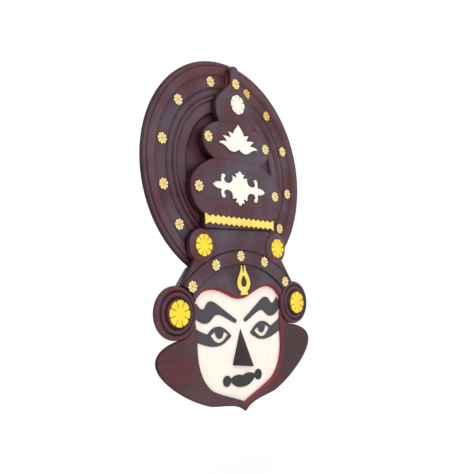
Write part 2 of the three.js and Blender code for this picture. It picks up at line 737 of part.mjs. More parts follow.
// Mouth: full lips with a round knob at each end
const knobX = 39.6;
const knobZ = -243.7;
const knobRadius = 9.2;
const lipTop = -237;
const lipLow = -258.8;
function mouthOutline() {
  const edge = new THREE.Path();
  edge.moveTo(0, lipLow);
  edge.bezierCurveTo(13, lipLow, 22, lipLow + 4, 29, knobZ - 3.5);
  edge.absarc(knobX, knobZ, knobRadius, Math.PI * 1.1, Math.PI * 0.9, false);
  edge.lineTo(29, knobZ + 3);
  edge.bezierCurveTo(23, lipTop - 1, 18, lipTop, 14, lipTop);
  edge.quadraticCurveTo(7, lipTop, 0, lipTop - 2.8);
  return fromHalf(edge.getPoints(5));
}
place(head, 'mouth', board(mouthOutline(), faceTrimThick), 'slate', panelFront);

// Flame mark on the forehead: two horns over a teardrop opening and a spread foot
const flameX = 5.5;
const flameTop = -51.5;
const flameHalf = 16.3;
const flameWide = -82;
const flameFoot = -102.6;
function flameOutline() {
  const edge = new THREE.Path();
  edge.moveTo(0, flameFoot);
  edge.lineTo(9.2, flameFoot);
  edge.quadraticCurveTo(9.2, flameFoot + 4, 7.2, flameFoot + 6);
  edge.bezierCurveTo(13, flameFoot + 9, flameHalf, flameWide - 6, flameHalf, flameWide);
  edge.bezierCurveTo(flameHalf, flameWide + 12, 5.5, flameTop - 14, 5, flameTop);
  edge.lineTo(2.6, flameTop);
  edge.quadraticCurveTo(2.4, flameTop - 8, 0, flameTop - 15);
  return fromHalf(edge.getPoints(4));
}
function teardropOutline() {
  const edge = new THREE.Path();
  edge.moveTo(0, flameWide - 6.5);
  edge.bezierCurveTo(10, flameWide - 6.5, 8.5, flameWide + 5, 0, flameWide + 14);
  return fromHalf(edge.getPoints(5));
}
place(head, 'flame_mark', board(flameOutline(), trimThick, { holes: [teardropOutline()] }), 'straw',
  plateLevel, flameX);

export default mask;
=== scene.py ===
import math
import bpy
import numpy as np
from mathutils import Matrix, Vector
from mathutils.geometry import tessellate_polygon


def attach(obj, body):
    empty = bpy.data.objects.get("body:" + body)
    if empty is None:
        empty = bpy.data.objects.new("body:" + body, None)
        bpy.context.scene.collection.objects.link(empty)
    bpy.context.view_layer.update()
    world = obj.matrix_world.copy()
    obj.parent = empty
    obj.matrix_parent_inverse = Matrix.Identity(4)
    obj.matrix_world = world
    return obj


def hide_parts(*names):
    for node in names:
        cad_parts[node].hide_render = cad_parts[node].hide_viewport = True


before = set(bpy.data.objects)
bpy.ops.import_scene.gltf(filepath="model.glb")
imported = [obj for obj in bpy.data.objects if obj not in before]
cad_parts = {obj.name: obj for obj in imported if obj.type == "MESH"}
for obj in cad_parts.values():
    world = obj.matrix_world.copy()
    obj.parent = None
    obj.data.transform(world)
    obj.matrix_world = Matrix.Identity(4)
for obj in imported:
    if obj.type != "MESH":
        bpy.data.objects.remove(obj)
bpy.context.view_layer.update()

# A layered wooden wall mask. Outlines are in millimetres, x to the right and z up from the headband's
# middle line; a level is the distance from the wall. Meshes are written in metres.
headDrop = 113.9                      # headband line below the halo's centre
crownLean = math.radians(1.4)
cutGap = 0.6                          # between an ear disc and the boards cut round it
perMetre = 1000
tiny = 1e-6
# bosses and ear discs were turned and set by hand, so the sides differ a little
sides = {
    "left": {"sign": -1, "ear": np.array([149.3, -122.6]), "earRadius": 42.4, "earFlower": 20.8,
             "boss": np.array([92, -17.4]), "bossFlower": 18.2},
    "right": {"sign": 1, "ear": np.array([146.3, -123.6]), "earRadius": 40.3, "earFlower": 19.9,
              "boss": np.array([95, -22]), "bossFlower": 17.3},
}
for side in sides.values():
    side["cut"] = side["earRadius"] + cutGap


# Places

def onHead(points):
    # (x, level, z) as drawn, moved down to the halo's centre
    return points * [1, -1, 1] - [0, 0, headDrop]


def onHalo(points):
    # (x, level, z) already measured from the halo's centre
    return points * [1, -1, 1]


def onCrown(points):
    # the crown leans: x' = x cos a + z sin a, z' = z cos a - x sin a, about the headband's middle
    x, level, z = points.T
    turned = np.stack([x * math.cos(crownLean) + z * math.sin(crownLean), level,
                       z * math.cos(crownLean) - x * math.sin(crownLean)], 1)
    return onHead(turned)


# Meshes

def putMesh(name, points, faces, values, material, slotName, *nodes):
    # whole arrays go into the mesh; values are one number for each point
    mesh = bpy.data.meshes.new(name)
    mesh.from_pydata((points / perMetre).tolist(), [], [face for part in faces for face in part.tolist()])
    for label, numbers in values.items():
        mesh.attributes.new(label, "FLOAT", "POINT").data.foreach_set("value", numbers.astype(np.float32))
    mesh.polygons.foreach_set("use_smooth", np.ones(len(mesh.polygons), bool))
    mesh.materials.append(material)
    mesh.validate()
    mesh.update()
    piece = bpy.data.objects.new(name, mesh)
    bpy.context.scene.collection.objects.link(piece)
    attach(piece, "root")
    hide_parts(*nodes)
    return piece


def gridFaces(rows, columns, wrap=True):
    # quads of a rows by columns grid of points; wrap joins the last column to the first
    r, c = np.meshgrid(np.arange(rows - 1), np.arange(columns if wrap else columns - 1), indexing="ij")
    d = (c + 1) % columns
    here, above = r * columns, (r + 1) * columns
    return np.stack([here + c, here + d, above + d, above + c], -1).reshape(-1, 4)


def fanFaces(rows, columns):
    # triangles from two hub points, numbered after the grid, to the grid's first row and its last
    ring = np.arange(columns)
    after, hub, top = (ring + 1) % columns, rows * columns, (rows - 1) * columns
    return [np.stack([np.full(columns, hub), after, ring], 1),
            np.stack([np.full(columns, hub + 1), top + ring, top + after], 1)]


def capFaces(flat, numbers, loops, inFront):
    # triangles over closed loops of (x, z); those that face the wrong way are turned round
    polygon = [[(x, z, 0) for x, z in loop] for loop in loops]
    caps = numbers[np.array(tessellate_polygon(polygon))]
    a, b, c = (flat[caps[:, k]] for k in range(3))
    turnWay = (b[:, 0] - a[:, 0]) * (c[:, 1] - a[:, 1]) - (b[:, 1] - a[:, 1]) * (c[:, 0] - a[:, 0])
    wrong = (turnWay < 0) if inFront else (turnWay > 0)
    caps[wrong] = caps[wrong][:, ::-1]
    return caps


def joined(parts):
    # several (points, faces, values) shells as one; the face numbers move on by the points before them
    points, faces, values, start = [], [], [], 0
    for shellPoints, shellFaces, shellValues in parts:
        points.append(shellPoints)
        faces += [part + start for part in shellFaces]
        values.append(shellValues)
        start += len(shellPoints)
    merged = {label: np.concatenate([v[label] for v in values]) for label in values[0]}
    return np.vstack(points), faces, merged


# Outlines

def drawn(start, *steps):
    # a path: 2 numbers are a line's end, 4 a quadratic curve, 6 a cubic curve, and 5 an arc: its centre's
    # x and z, radius, first and last angle
    parts, here = [], np.array(start, float)
    t = np.linspace(0, 1, 33)[:, None]
    for step in steps:
        s = np.array(step, float)
        if len(s) == 5:
            angle = np.radians(s[3] + (s[4] - s[3]) * t)
            line = s[:2] + s[2] * np.hstack([np.cos(angle), np.sin(angle)])
        elif len(s) == 2:
            line = here + (s - here) * t
        elif len(s) == 4:
            line = (1 - t) ** 2 * here + 2 * t * (1 - t) * s[:2] + t ** 2 * s[2:]
        else:
            line = (1 - t) ** 3 * here + 3 * (1 - t) ** 2 * t * s[:2]
            line = line + 3 * (1 - t) * t ** 2 * s[2:4] + t ** 3 * s[4:]
        parts.append(line[:-1])
        here = line[-1]
    return np.vstack(parts + [here])


def fromHalves(right, left):
    # both halves are drawn on the right, upwards; the left one is mirrored and runs back down
    inner = left[np.abs(left[:, 0]) > tiny]
    return np.vstack([right, (inner * [-1, 1])[::-1]])


def fromHalf(half):
    # the same half on both sides of the middle line
    return fromHalves(half, half)


def evened(outline, step, soften=1):
    # closed outline at an even spacing, its corners eased by averaging neighbours
    shortest, fewest = 1e-4, 24
    keep = np.linalg.norm(outline - np.roll(outline, 1, 0), axis=1) > shortest
    ring = outline[keep]
    ring = np.vstack([ring, ring[:1]])
    run = np.concatenate([[0], np.cumsum(np.linalg.norm(np.diff(ring, axis=0), axis=1))])
    count = max(fewest, int(round(run[-1] / step)))
    at = np.linspace(0, run[-1], count, endpoint=False)
    even = np.stack([np.interp(at, run, ring[:, k]) for k in (0, 1)], 1)
    for _ in range(soften):
        even = 0.5 * even + 0.25 * (np.roll(even, 1, 0) + np.roll(even, -1, 0))
    return even


def normalsOf(ring):
    # unit normals into the material, which lies to the left of the way the outline runs
    along = np.roll(ring, -1, 0) - np.roll(ring, 1, 0)
    along /= np.maximum(np.linalg.norm(along, axis=1, keepdims=True), tiny)
    return np.stack([-along[:, 1], along[:, 0]], 1)


def roomOf(ring, normals):
    # radius of the largest circle inside that touches the outline at each point
    gap = ring[None] - ring[:, None]
    towards = np.einsum("ijk,ik->ij", gap, normals)
    radius = np.where(towards > tiny, (gap ** 2).sum(-1) / np.maximum(2 * towards, tiny), 1 / tiny)
    return radius.min(1)


# Boards: a profile carried round the outline, closed by a cap in front and behind
boardBuild = {
    "footEase": 0.5, "lipDrop": 0.4, "turnSteps": 6, "fadeAt": 0.35, "fade": 0.45, "roomShare": 0.85,
}


def boardProfile(back, front, edge, tip, margin):
    # rows of inset, level, edge value and side value: up the wall, round a quarter ellipse, onto the flat
    b, quarter = boardBuild, np.pi / 2
    ease = b["footEase"]
    rows = [(ease, back, 0, 1), (0, back + ease, 0, 1), (0, front - tip - b["lipDrop"], 0, 1)]
    rows += [(edge * (1 - math.cos(a)), front - tip * (1 - math.sin(a)), 1, 1 - a / quarter)
             for a in np.linspace(0, quarter, b["turnSteps"])]
    return rows + [(edge + b["fadeAt"] * margin, front, b["fade"], 0), (edge + margin, front, 0, 0)]


def boardShell(outline, back, front, edge, place, step=1.1, margin=2.5, holes=(), red=None, soften=2,
               tip=None, wide=None):
    # each point is outline + inset times its inward normal; red(points) says how much of a wall is rubbed
    # red, tip is the depth of the rounding, and wide(points) widens the edge in places
    profile = boardProfile(back, front, edge, edge if tip is None else tip, margin)
    rings, levels, edges, reds, sideShares, loops, starts = [], [], [], [], [], [], []
    faces, total = [], 0
    for index, loop in enumerate([outline, *holes]):
        ring = evened(loop, step, soften)
        area = (ring[:, 0] * np.roll(ring[:, 1], -1) - ring[:, 1] * np.roll(ring[:, 0], -1)).sum()
        if (area > 0) == (index > 0):
            ring = ring[::-1]
        normals = normalsOf(ring)
        room = boardBuild["roomShare"] * roomOf(ring, normals)
        count = len(ring)
        wall = np.zeros(count) if red is None else red(ring)
        extra = np.zeros(count) if wide is None else wide(ring)
        for inset, level, edgeValue, sideValue in profile:
            reach = np.minimum(inset + extra * min(inset / edge, 1), room)[:, None]
            rings.append(ring + normals * reach)
            levels.append(np.full(count, level))
            edges.append(np.full(count, edgeValue) * (1 - wall))
            behind = inset > 0 and level == back                   # the ring round the back cap stays dark
            reds.append(wall * (0 if behind else max(edgeValue, sideValue)))
            sideShares.append(np.full(count, 1.0) if behind else sideValue * (1 - wall))
        faces.append(gridFaces(len(profile), count) + total)
        loops.append((rings[-len(profile)], rings[-1]))
        starts.append((total, total + count * (len(profile) - 1)))
        total += count * len(profile)
    flat = np.vstack(rings)
    points = np.stack([flat[:, 0], np.concatenate(levels), flat[:, 1]], 1)
    for inFront in (0, 1):
        ends = [pair[inFront] for pair in loops]
        numbers = np.concatenate([start[inFront] + np.arange(len(end)) for start, end in zip(starts, ends)])
        faces.append(capFaces(flat, numbers, ends, inFront))
    return place(points), faces, {"edge": np.concatenate(edges), "red": np.concatenate(reds),
                                  "side": np.concatenate(sideShares)}


def putCutout(name, node, outline, shape, place, material, slotName, holes=(), red=None):
    # thin board glued on: it sinks a little into what carries it
    back, front = shape["level"] - shape["sink"], shape["level"] + shape["thick"]
    shell = boardShell(outline, back, front, shape["edge"], place, step=shape["step"], margin=shape["margin"],
                       holes=holes, red=red, soften=1)
    putMesh(name, *shell, material, slotName, node)


# Turned pieces: a profile carried round the axis

def turnedShell(profile, centre, place, segments, smooth=2):
    # profile rows are radius, level, edge, side; each point is (x + r cos a, level, z + r sin a)
    # edge values on crests and rims give a painted highlight, side values in grooves give painted shade
    rows, fineEnough = np.array(profile, float), 220
    for _ in range(smooth):
        fine = np.empty((2 * len(rows) - 1, rows.shape[1]))
        fine[0::2], fine[1::2] = rows, 0.5 * (rows[:-1] + rows[1:])
        if len(fine) < fineEnough:
            fine[1:-1] = 0.5 * fine[1:-1] + 0.25 * (fine[:-2] + fine[2:])
        rows = fine
    angle = np.linspace(0, 2 * np.pi, segments, endpoint=False)
    x = centre[0] + rows[:, :1] * np.cos(angle)
    z = centre[1] + rows[:, :1] * np.sin(angle)
    points = np.stack([x, np.repeat(rows[:, 1:2], segments, 1), z], -1).reshape(-1, 3)
    hubs = [[centre[0], rows[end, 1], centre[1]] for end in (0, -1)]
    edge, side = (np.append(np.repeat(rows[:, k], segments), [rows[0, k], rows[-1, k]]) for k in (2, 3))
    faces = [gridFaces(len(rows), segments), *fanFaces(len(rows), segments)]
    return place(np.vstack([points, hubs])), faces, {"edge": edge, "side": side}


# Flowers: a height over angle and radius
flowerBuild = {
    "spacing": 0.8, "slitSoft": 0.5, "swellPower": 0.7, "lipStart": 0.86, "eyeShare": 0.22,
    "hollowShare": 0.3, "edgeStart": 0.8, "rimDrop": 0.15, "least": 0.5,
}


def flowerShell(centre, radius, petals, back, front, place, slit, turn, dome, eye, columns, rows):
    # rim R(a) dips at each slit; height falls off as dome (r/R)^2, sinks in a slit by exp(-(d/w)^2) from the
    # slit's inner end outwards, swells across each petal and dips by eye at the middle
    b = flowerBuild
    angle = np.linspace(0, 2 * np.pi, petals * columns, endpoint=False)
    phase = (angle - turn) * petals / (2 * np.pi)
    off = np.abs(phase - np.round(phase)) * 2 * np.pi / petals       # angle from the nearest slit
    across = np.sin(off * petals / 2)                                # 0 at a slit, 1 in a petal's middle
    rim = radius * (1 - slit["notch"] * np.exp(-(off * radius / slit["mouth"]) ** 2)
                    - slit["round"] * (1 - across) ** 2)
    share = (np.linspace(1, 0, rows)[:-1] ** b["spacing"])[:, None]
    r = share * rim
    opened = 1 / (1 + np.exp(-(r - slit["inner"]) / b["slitSoft"]))
    cut = np.exp(-(off * r / slit["width"]) ** 2) * opened
    swell = slit["swell"] * (across ** b["swellPower"] * opened * share - 1)
    ease = slit["lip"] * np.clip((share - b["lipStart"]) / (1 - b["lipStart"]), 0, 1) ** 2
    sink = eye * np.exp(-(r / (b["eyeShare"] * radius)) ** 2)
    level = front - dome * share ** 2 - slit["depth"] * cut + swell - ease - sink
    level = np.maximum(level, back + b["least"])
    levels = np.vstack([np.full_like(rim, back), level[0] - b["rimDrop"], level])
    radii = np.vstack([rim, rim, r])
    points = np.stack([centre[0] + radii * np.cos(angle), levels, centre[1] + radii * np.sin(angle)], -1)
    hubs = [[centre[0], height, centre[1]] for height in (back, level[-1].mean())]
    hollow = np.maximum(cut, np.exp(-(r / (b["hollowShare"] * radius)) ** 2) * (eye > 0))
    edge = np.broadcast_to(np.clip((share - b["edgeStart"]) / (1 - b["edgeStart"]), 0, 1), cut.shape)
    walls = (2, len(angle))

    def withHubs(wall, flat, first, last):
        return np.append(np.vstack([wall(walls), flat]).ravel(), [first, last])

    values = {"hollow": withHubs(np.zeros, hollow, 0, hollow[-1].mean()),
              "side": withHubs(np.ones, np.zeros_like(cut), 1, 0), "edge": withHubs(np.ones, edge, 0, 0)}
    faces = [gridFaces(*radii.shape), *fanFaces(*radii.shape)]
    return place(np.vstack([points.reshape(-1, 3), hubs])), faces, values


# Shader helpers

def addNode(tree, kind, feeds=None, **settings):
    # a feed that is a socket is linked, any other value is set on the node's own socket
    made = tree.nodes.new("ShaderNode" + kind)
    for key, value in settings.items():
        setattr(made, key, value)
    for key, value in (feeds or {}).items():
        if isinstance(value, bpy.types.NodeSocket):
            tree.links.new(value, made.inputs[key])
        else:
            made.inputs[key].default_value = value
    return made


def mixed(tree, factor, first, second):
    # first + factor (second - first)
    return addNode(tree, "Mix", {0: factor, 6: first, 7: second}, data_type="RGBA").outputs[2]


def worked(tree, operation, *values):
    # one sum or product of numbers
    return addNode(tree, "Math", dict(enumerate(values)), operation=operation).outputs[0]


def vectorWorked(tree, operation, *values):
    # the same for vectors, part by part
    return addNode(tree, "VectorMath", dict(enumerate(values)), operation=operation).outputs[0]


def spread(tree, value, low, high, outLow=0.0, outHigh=1.0):
    # low to high becomes outLow to outHigh, with soft ends
    made = addNode(tree, "MapRange", {0: value, 1: low, 2: high, 3: outLow, 4: outHigh},
                   interpolation_type="SMOOTHSTEP")
    return made.outputs[0]


def noise(tree, vector, scale, detail, roughness=0.5):
    # soft noise, scale waves to the metre
    feeds = {"Vector": vector, "Scale": scale, "Detail": detail, "Roughness": roughness}
    return addNode(tree, "TexNoise", feeds).outputs[0]


def newGroup(name, inputs, outputs):
    # every group starts with a vector; the other inputs are numbers or colours with their first values
    group = bpy.data.node_groups.new(name, "ShaderNodeTree")
    group.interface.new_socket(name="Vector", in_out="INPUT", socket_type="NodeSocketVector")
    for label, value in inputs.items():
        kind = "Color" if isinstance(value, tuple) else "Float"
        socket = group.interface.new_socket(name=label, in_out="INPUT", socket_type="NodeSocket" + kind)
        socket.default_value = value
    for label, kind in outputs.items():
        group.interface.new_socket(name=label, in_out="OUTPUT", socket_type="NodeSocket" + kind)
    return group, group.nodes.new("NodeGroupInput").outputs, group.nodes.new("NodeGroupOutput").inputs


# Brush streaks: noise drawn out along one direction, and a broad soft blotch
streakGroup, fromOutside, toOutside = newGroup(
    "brushStreaks", {"Along": 18.0, "Across": 320.0, "Blotch": 9.0}, {"Streak": "Float", "Patch": "Float"})
stretch = addNode(streakGroup, "CombineXYZ", {
    0: fromOutside["Along"], 1: fromOutside["Along"], 2: fromOutside["Across"]}).outputs[0]
drawnOut = vectorWorked(streakGroup, "MULTIPLY", fromOutside["Vector"], stretch)
fineNoise = noise(streakGroup, drawnOut, 1.0, 5.0, 0.62)
broadNoise = noise(streakGroup, fromOutside["Vector"], fromOutside["Blotch"], 3.0)
streakGroup.links.new(spread(streakGroup, fineNoise, 0.38, 0.7), toOutside["Streak"])
streakGroup.links.new(spread(streakGroup, broadNoise, 0.35, 0.68), toOutside["Patch"])

# Edge colour: rubbed red edges on the boards, a painted highlight on the turned crests and boss rims, and
# painted shade lines along the band; the edge value broken up by a fine noise
edgeMixGroup, fromOutside, toOutside = newGroup(
    "edgeRubAndLight", {"Edge": 0.0, "Size": 60.0, "Amount": 1.0}, {"EdgeMix": "Float"})
edgeNoise = noise(edgeMixGroup, fromOutside["Vector"], fromOutside["Size"], 3.0)
broken = worked(edgeMixGroup, "MULTIPLY", fromOutside["Edge"], spread(edgeMixGroup, edgeNoise, 0.25, 0.62, 0.45, 1.0))
edgeMixGroup.links.new(worked(edgeMixGroup, "MULTIPLY", broken, fromOutside["Amount"]), toOutside["EdgeMix"])

# Surface relief: fine brush marks and slow waves of a hand-sanded board
reliefGroup, fromOutside, toOutside = newGroup(
    "handRelief", {"Marks": 260.0, "Waves": 30.0, "Share": 0.5}, {"Height": "Float"})
markVector = vectorWorked(reliefGroup, "MULTIPLY", fromOutside["Vector"], (0.14, 0.14, 1.0))
markNoise = noise(reliefGroup, markVector, fromOutside["Marks"], 4.0)
waveNoise = noise(reliefGroup, fromOutside["Vector"], fromOutside["Waves"], 2.0)
markPart = worked(reliefGroup, "MULTIPLY", markNoise, fromOutside["Share"])
waveShare = worked(reliefGroup, "SUBTRACT", 1.0, fromOutside["Share"])
wavePart = worked(reliefGroup, "MULTIPLY", waveNoise, waveShare)
reliefGroup.links.new(worked(reliefGroup, "ADD", markPart, wavePart), toOutside["Height"])

# Paint mottle: two tones of one paint, with thin spots where the brush dragged
mottleGroup, fromOutside, toOutside = newGroup(
    "paintMottle", {"Size": 40.0, "Tone": (1, 1, 1, 1), "Thin": (1, 1, 1, 1)},
    {"Colour": "Color", "Value": "Float"})
mottleNoise = noise(mottleGroup, fromOutside["Vector"], fromOutside["Size"], 5.0)
mottleValue = spread(mottleGroup, mottleNoise, 0.35, 0.75)
toneMix = mixed(mottleGroup, mottleValue, fromOutside["Tone"], fromOutside["Thin"])
mottleGroup.links.new(toneMix, toOutside["Colour"])
mottleGroup.links.new(mottleValue, toOutside["Value"])


def placed(tree, group, vector, **feeds):
    # a shared group with this material's own values
    return addNode(tree, "Group", {"Vector": vector, **feeds}, node_tree=group).outputs


def startMaterial(name, roughness, specular):
    # a new material that reads Object coordinates
    material = bpy.data.materials.new(name)
    material.use_nodes = True
    tree = material.node_tree
    shader = tree.nodes["Principled BSDF"]
    shader.inputs["Roughness"].default_value = roughness
    shader.inputs["Specular IOR Level"].default_value = specular
    return material, tree, shader, tree.nodes.new("ShaderNodeTexCoord").outputs["Object"]


def finishMaterial(tree, shader, vector, look, body, value):
    # base colour, a roughness that rises with the pattern's value, and the relief as a bump
    tree.links.new(body, shader.inputs["Base Color"])
    rough = spread(tree, value, 0.0, 1.0, look["roughness"], look["roughness"] + look["roughRise"])
    tree.links.new(rough, shader.inputs["Roughness"])
    relief = placed(tree, reliefGroup, vector, Marks=look["marks"], Waves=look["waves"],
                    Share=look["markShare"])
    bump = addNode(tree, "Bump", {
        "Strength": look["bump"], "Distance": look["depth"], "Height": relief["Height"]})
    tree.links.new(bump.outputs[0], shader.inputs["Normal"])


def attribute(tree, label):
    # the number that the mesh keeps for each point
    return addNode(tree, "Attribute", attribute_name=label).outputs["Fac"]


def spotted(tree, vector, body, spots, inner, outer):
    # each spot's colour inside an ellipsoid, fading out between the inner and outer share of its size
    for centre, size, colour, share in spots:
        away = vectorWorked(tree, "SUBTRACT", vector, centre)
        scaled = vectorWorked(tree, "MULTIPLY", away, tuple(1 / length for length in size))
        reach = addNode(tree, "VectorMath", {0: scaled}, operation="LENGTH").outputs["Value"]
        mask = worked(tree, "MULTIPLY", spread(tree, reach, inner, outer, 1.0, 0.0), share)
        body = mixed(tree, mask, body, colour)
    return body


def lacquerMaterial(name, look):
    # dark maroon lacquer: greyish patches, red brush streaks, rubbed red edges that are a painted highlight
    # on turned crests, and black walls: dark-painted sides with painted shade in the grooves
    material, tree, shader, vector = startMaterial(name, look["roughness"], look["specular"])
    streaks = placed(tree, streakGroup, vector, Along=look["along"], Across=look["across"],
                     Blotch=look["blotch"])
    body = mixed(tree, streaks["Patch"], look["dark"], look["grey"])
    body = mixed(tree, worked(tree, "MULTIPLY", streaks["Streak"], look["streak"]), body, look["red"])
    edgeShare = placed(tree, edgeMixGroup, vector, Edge=attribute(tree, "edge"), Size=look["edgeSize"],
                 Amount=look["edgeShare"])
    body = mixed(tree, edgeShare["EdgeMix"], body, look["edge"])
    body = mixed(tree, attribute(tree, "red"), body, look["redWall"])
    body = spotted(tree, vector, body, look.get("patches", []), *look["patchFade"])
    # painted shade: the side value, raised on walls and in grooves, mixes the body towards black
    wall = worked(tree, "MULTIPLY", attribute(tree, "side"), look["wall"])
    body = mixed(tree, wall, body, mixed(tree, streaks["Streak"], look["black"], look["stain"]))
    body = spotted(tree, vector, body, look.get("spots", []), *look["spotFade"])
    finishMaterial(tree, shader, vector, look, body, streaks["Streak"])
    return material


def paintMaterial(name, look):
    # satin paint in two close tones; hollows take the glaze colour and walls the wall colour
    material, tree, shader, vector = startMaterial(name, look["roughness"], look["specular"])
    mottle = placed(tree, mottleGroup, vector, Size=look["size"], Tone=look["tone"], Thin=look["thin"])
    body = mottle["Colour"]
    if "glaze" in look:
        glazed = worked(tree, "MULTIPLY", attribute(tree, "hollow"), look["glazeShare"])
        body = mixed(tree, glazed, body, look["glaze"])
    wall = worked(tree, "MULTIPLY", attribute(tree, "side"), look["wallShare"])
    deepWall = tuple(look["wallDeep"] * c for c in look["wall"][:3]) + (1,)
    body = mixed(tree, wall, body, mixed(tree, mottle["Value"], look["wall"], deepWall))
    if "paleWall" in look:
        body = mixed(tree, attribute(tree, "red"), body, look["paleWall"])
    finishMaterial(tree, shader, vector, look, body, mottle["Value"])
    return material


# Patches lie under the wall colour and spots over it: centre, size, colour and share
lacquerLook = {
    "dark": (0.064, 0.032, 0.04, 1), "grey": (0.08, 0.074, 0.1, 1), "red": (0.2, 0.018, 0.026, 1),
    "edge": (0.19, 0.026, 0.038, 1), "redWall": (0.26, 0.012, 0.022, 1), "black": (0.006, 0.002, 0.003, 1),
    "stain": (0.022, 0.009, 0.011, 1), "streak": 0.34, "edgeShare": 0.5, "edgeSize": 70.0, "wall": 1.4,
    "roughness": 0.34, "roughRise": 0.14, "specular": 0.2, "along": 12.0, "across": 260.0, "blotch": 14.0,
    "marks": 420.0, "waves": 26.0, "markShare": 0.35, "bump": 0.22, "depth": 0.0006,
    "patchFade": (0.2, 1.1), "spotFade": (0.75, 1.1),
}
crownLacquer = lacquerMaterial("crownLacquer", dict(
    lacquerLook, edge=(0.06, 0.014, 0.02, 1), wall=0.85, black=(0.022, 0.007, 0.009, 1),
    # painted light: an orange spot on the neck's left wall, where it faces the lamp
    spots=[((-0.008, -0.0165, 0.16), (0.016, 0.0028, 0.017), (0.3, 0.1, 0.03, 1), 0.85)]))
# painted shade: near-black edge colour draws shade lines along the band's edges, and a near-black dot is the
# shade of a small hole below the strip's right end
bandLacquer = lacquerMaterial("bandLacquer", dict(
    lacquerLook, edge=(0.016, 0.005, 0.007, 1), edgeShare=0.9, streak=0.2,
    spots=[((0.0812, -0.0242, -0.1064), (0.0034, 0.004, 0.0021), (0.001, 0.0005, 0.0005, 1), 1.0)]))
foreheadLacquer = lacquerMaterial("foreheadLacquer", dict(
    lacquerLook, streak=0.2, dark=(0.05, 0.03, 0.036, 1), redWall=(0.2, 0.01, 0.018, 1)))
# painted shade: a dark patch over the hair frame's lower right, away from the lamp
hairLacquer = lacquerMaterial("hairLacquer", dict(
    lacquerLook, streak=0.42, edge=(0.05, 0.014, 0.018, 1), redWall=(0.22, 0.03, 0.04, 1),
    dark=(0.064, 0.026, 0.03, 1), grey=(0.06, 0.048, 0.056, 1),
    patches=[((0.15, -0.019, -0.33), (0.09, 0.05, 0.1), (0.03, 0.016, 0.018, 1), 0.55)]))
# painted highlight: on the halo the edge colour lies on the bead crests
turnedLacquer = lacquerMaterial("turnedLacquer", dict(
    lacquerLook, edgeShare=0.6, edge=(0.13, 0.045, 0.052, 1), streak=0.5, dark=(0.055, 0.024, 0.032, 1), wall=1.1,
    patches=[((0.01, -0.012, 0.185), (0.15, 0.06, 0.045), (0.12, 0.018, 0.024, 1), 0.4),
             ((-0.13, -0.012, 0.03), (0.05, 0.06, 0.13), (0.075, 0.068, 0.09, 1), 0.35)]))
# the bosses' red rims are rubbed red lacquer with a painted highlight
bossLacquer = lacquerMaterial("bossLacquer", dict(lacquerLook, edge=(0.2, 0.014, 0.022, 1), edgeShare=0.6))
# painted highlight: the ear discs' grey-mauve edge colour lies on the moulding crests
earLacquer = lacquerMaterial("earLacquer", dict(
    lacquerLook, edgeShare=0.75, edge=(0.115, 0.05, 0.06, 1), dark=(0.048, 0.014, 0.022, 1),
    grey=(0.06, 0.036, 0.05, 1), wall=1.0, black=(0.014, 0.005, 0.008, 1), streak=0.5))
print("lacquers ready")

paintLook = {
    "roughness": 0.42, "roughRise": 0.1, "specular": 0.3, "size": 45.0, "marks": 300.0, "waves": 60.0,
    "markShare": 0.5, "bump": 0.12, "depth": 0.0004, "wallShare": 0.55, "wallDeep": 0.55,
}


def paint(name, tone, thin, wall, **others):
    # the common paint look with its own colours and changes
    return paintMaterial(name, dict(paintLook, tone=(*tone, 1), thin=(*thin, 1), wall=(*wall, 1), **others))


creamPaint = paint("creamPaint", (0.95, 0.87, 0.78), (0.92, 0.82, 0.71), (0.11, 0.03, 0.034), wallShare=1.0)
# painted light: the pale wall colour on the crescent's wall takes the shade out of the narrow hole
slatePaint = paint("slatePaint", (0.05, 0.05, 0.064), (0.066, 0.056, 0.062), (0.09, 0.045, 0.03),
                   wallShare=0.9, paleWall=(0.95, 0.84, 0.76, 1))
mouthPaint = paint("mouthPaint", (0.024, 0.02, 0.024), (0.04, 0.034, 0.036), (0.06, 0.028, 0.02),
                   wallShare=0.9)
noseStain = paint("noseStain", (0.022, 0.013, 0.012), (0.05, 0.032, 0.03), (0.02, 0.012, 0.01), wallShare=0.5,
                  specular=0.25, size=30.0, marks=500.0, bump=0.3)
yellowPaint = paint("yellowPaint", (0.94, 0.74, 0.035), (0.88, 0.6, 0.03), (0.12, 0.07, 0.015),
                    glaze=(0.2, 0.15, 0.015, 1), glazeShare=0.85)
strawPaint = paint("strawPaint", (0.93, 0.73, 0.16), (0.85, 0.6, 0.1), (0.28, 0.17, 0.03))
goldPaint = paint("goldPaint", (0.95, 0.82, 0.42), (0.9, 0.7, 0.22), (0.22, 0.1, 0.02), size=160.0,
                  glaze=(0.42, 0.2, 0.025, 1), glazeShare=0.9)
orangePaint = paint("orangePaint", (0.9, 0.62, 0.16), (0.82, 0.45, 0.06), (0.2, 0.08, 0.015), size=160.0,
                    glaze=(0.5, 0.22, 0.02, 1), glazeShare=0.85)
whitePaint = paint("whitePaint", (0.94, 0.89, 0.79), (0.9, 0.83, 0.7), (0.25, 0.17, 0.12),
                   glaze=(0.4, 0.33, 0.25, 1), glazeShare=0.8)
print("paints ready")
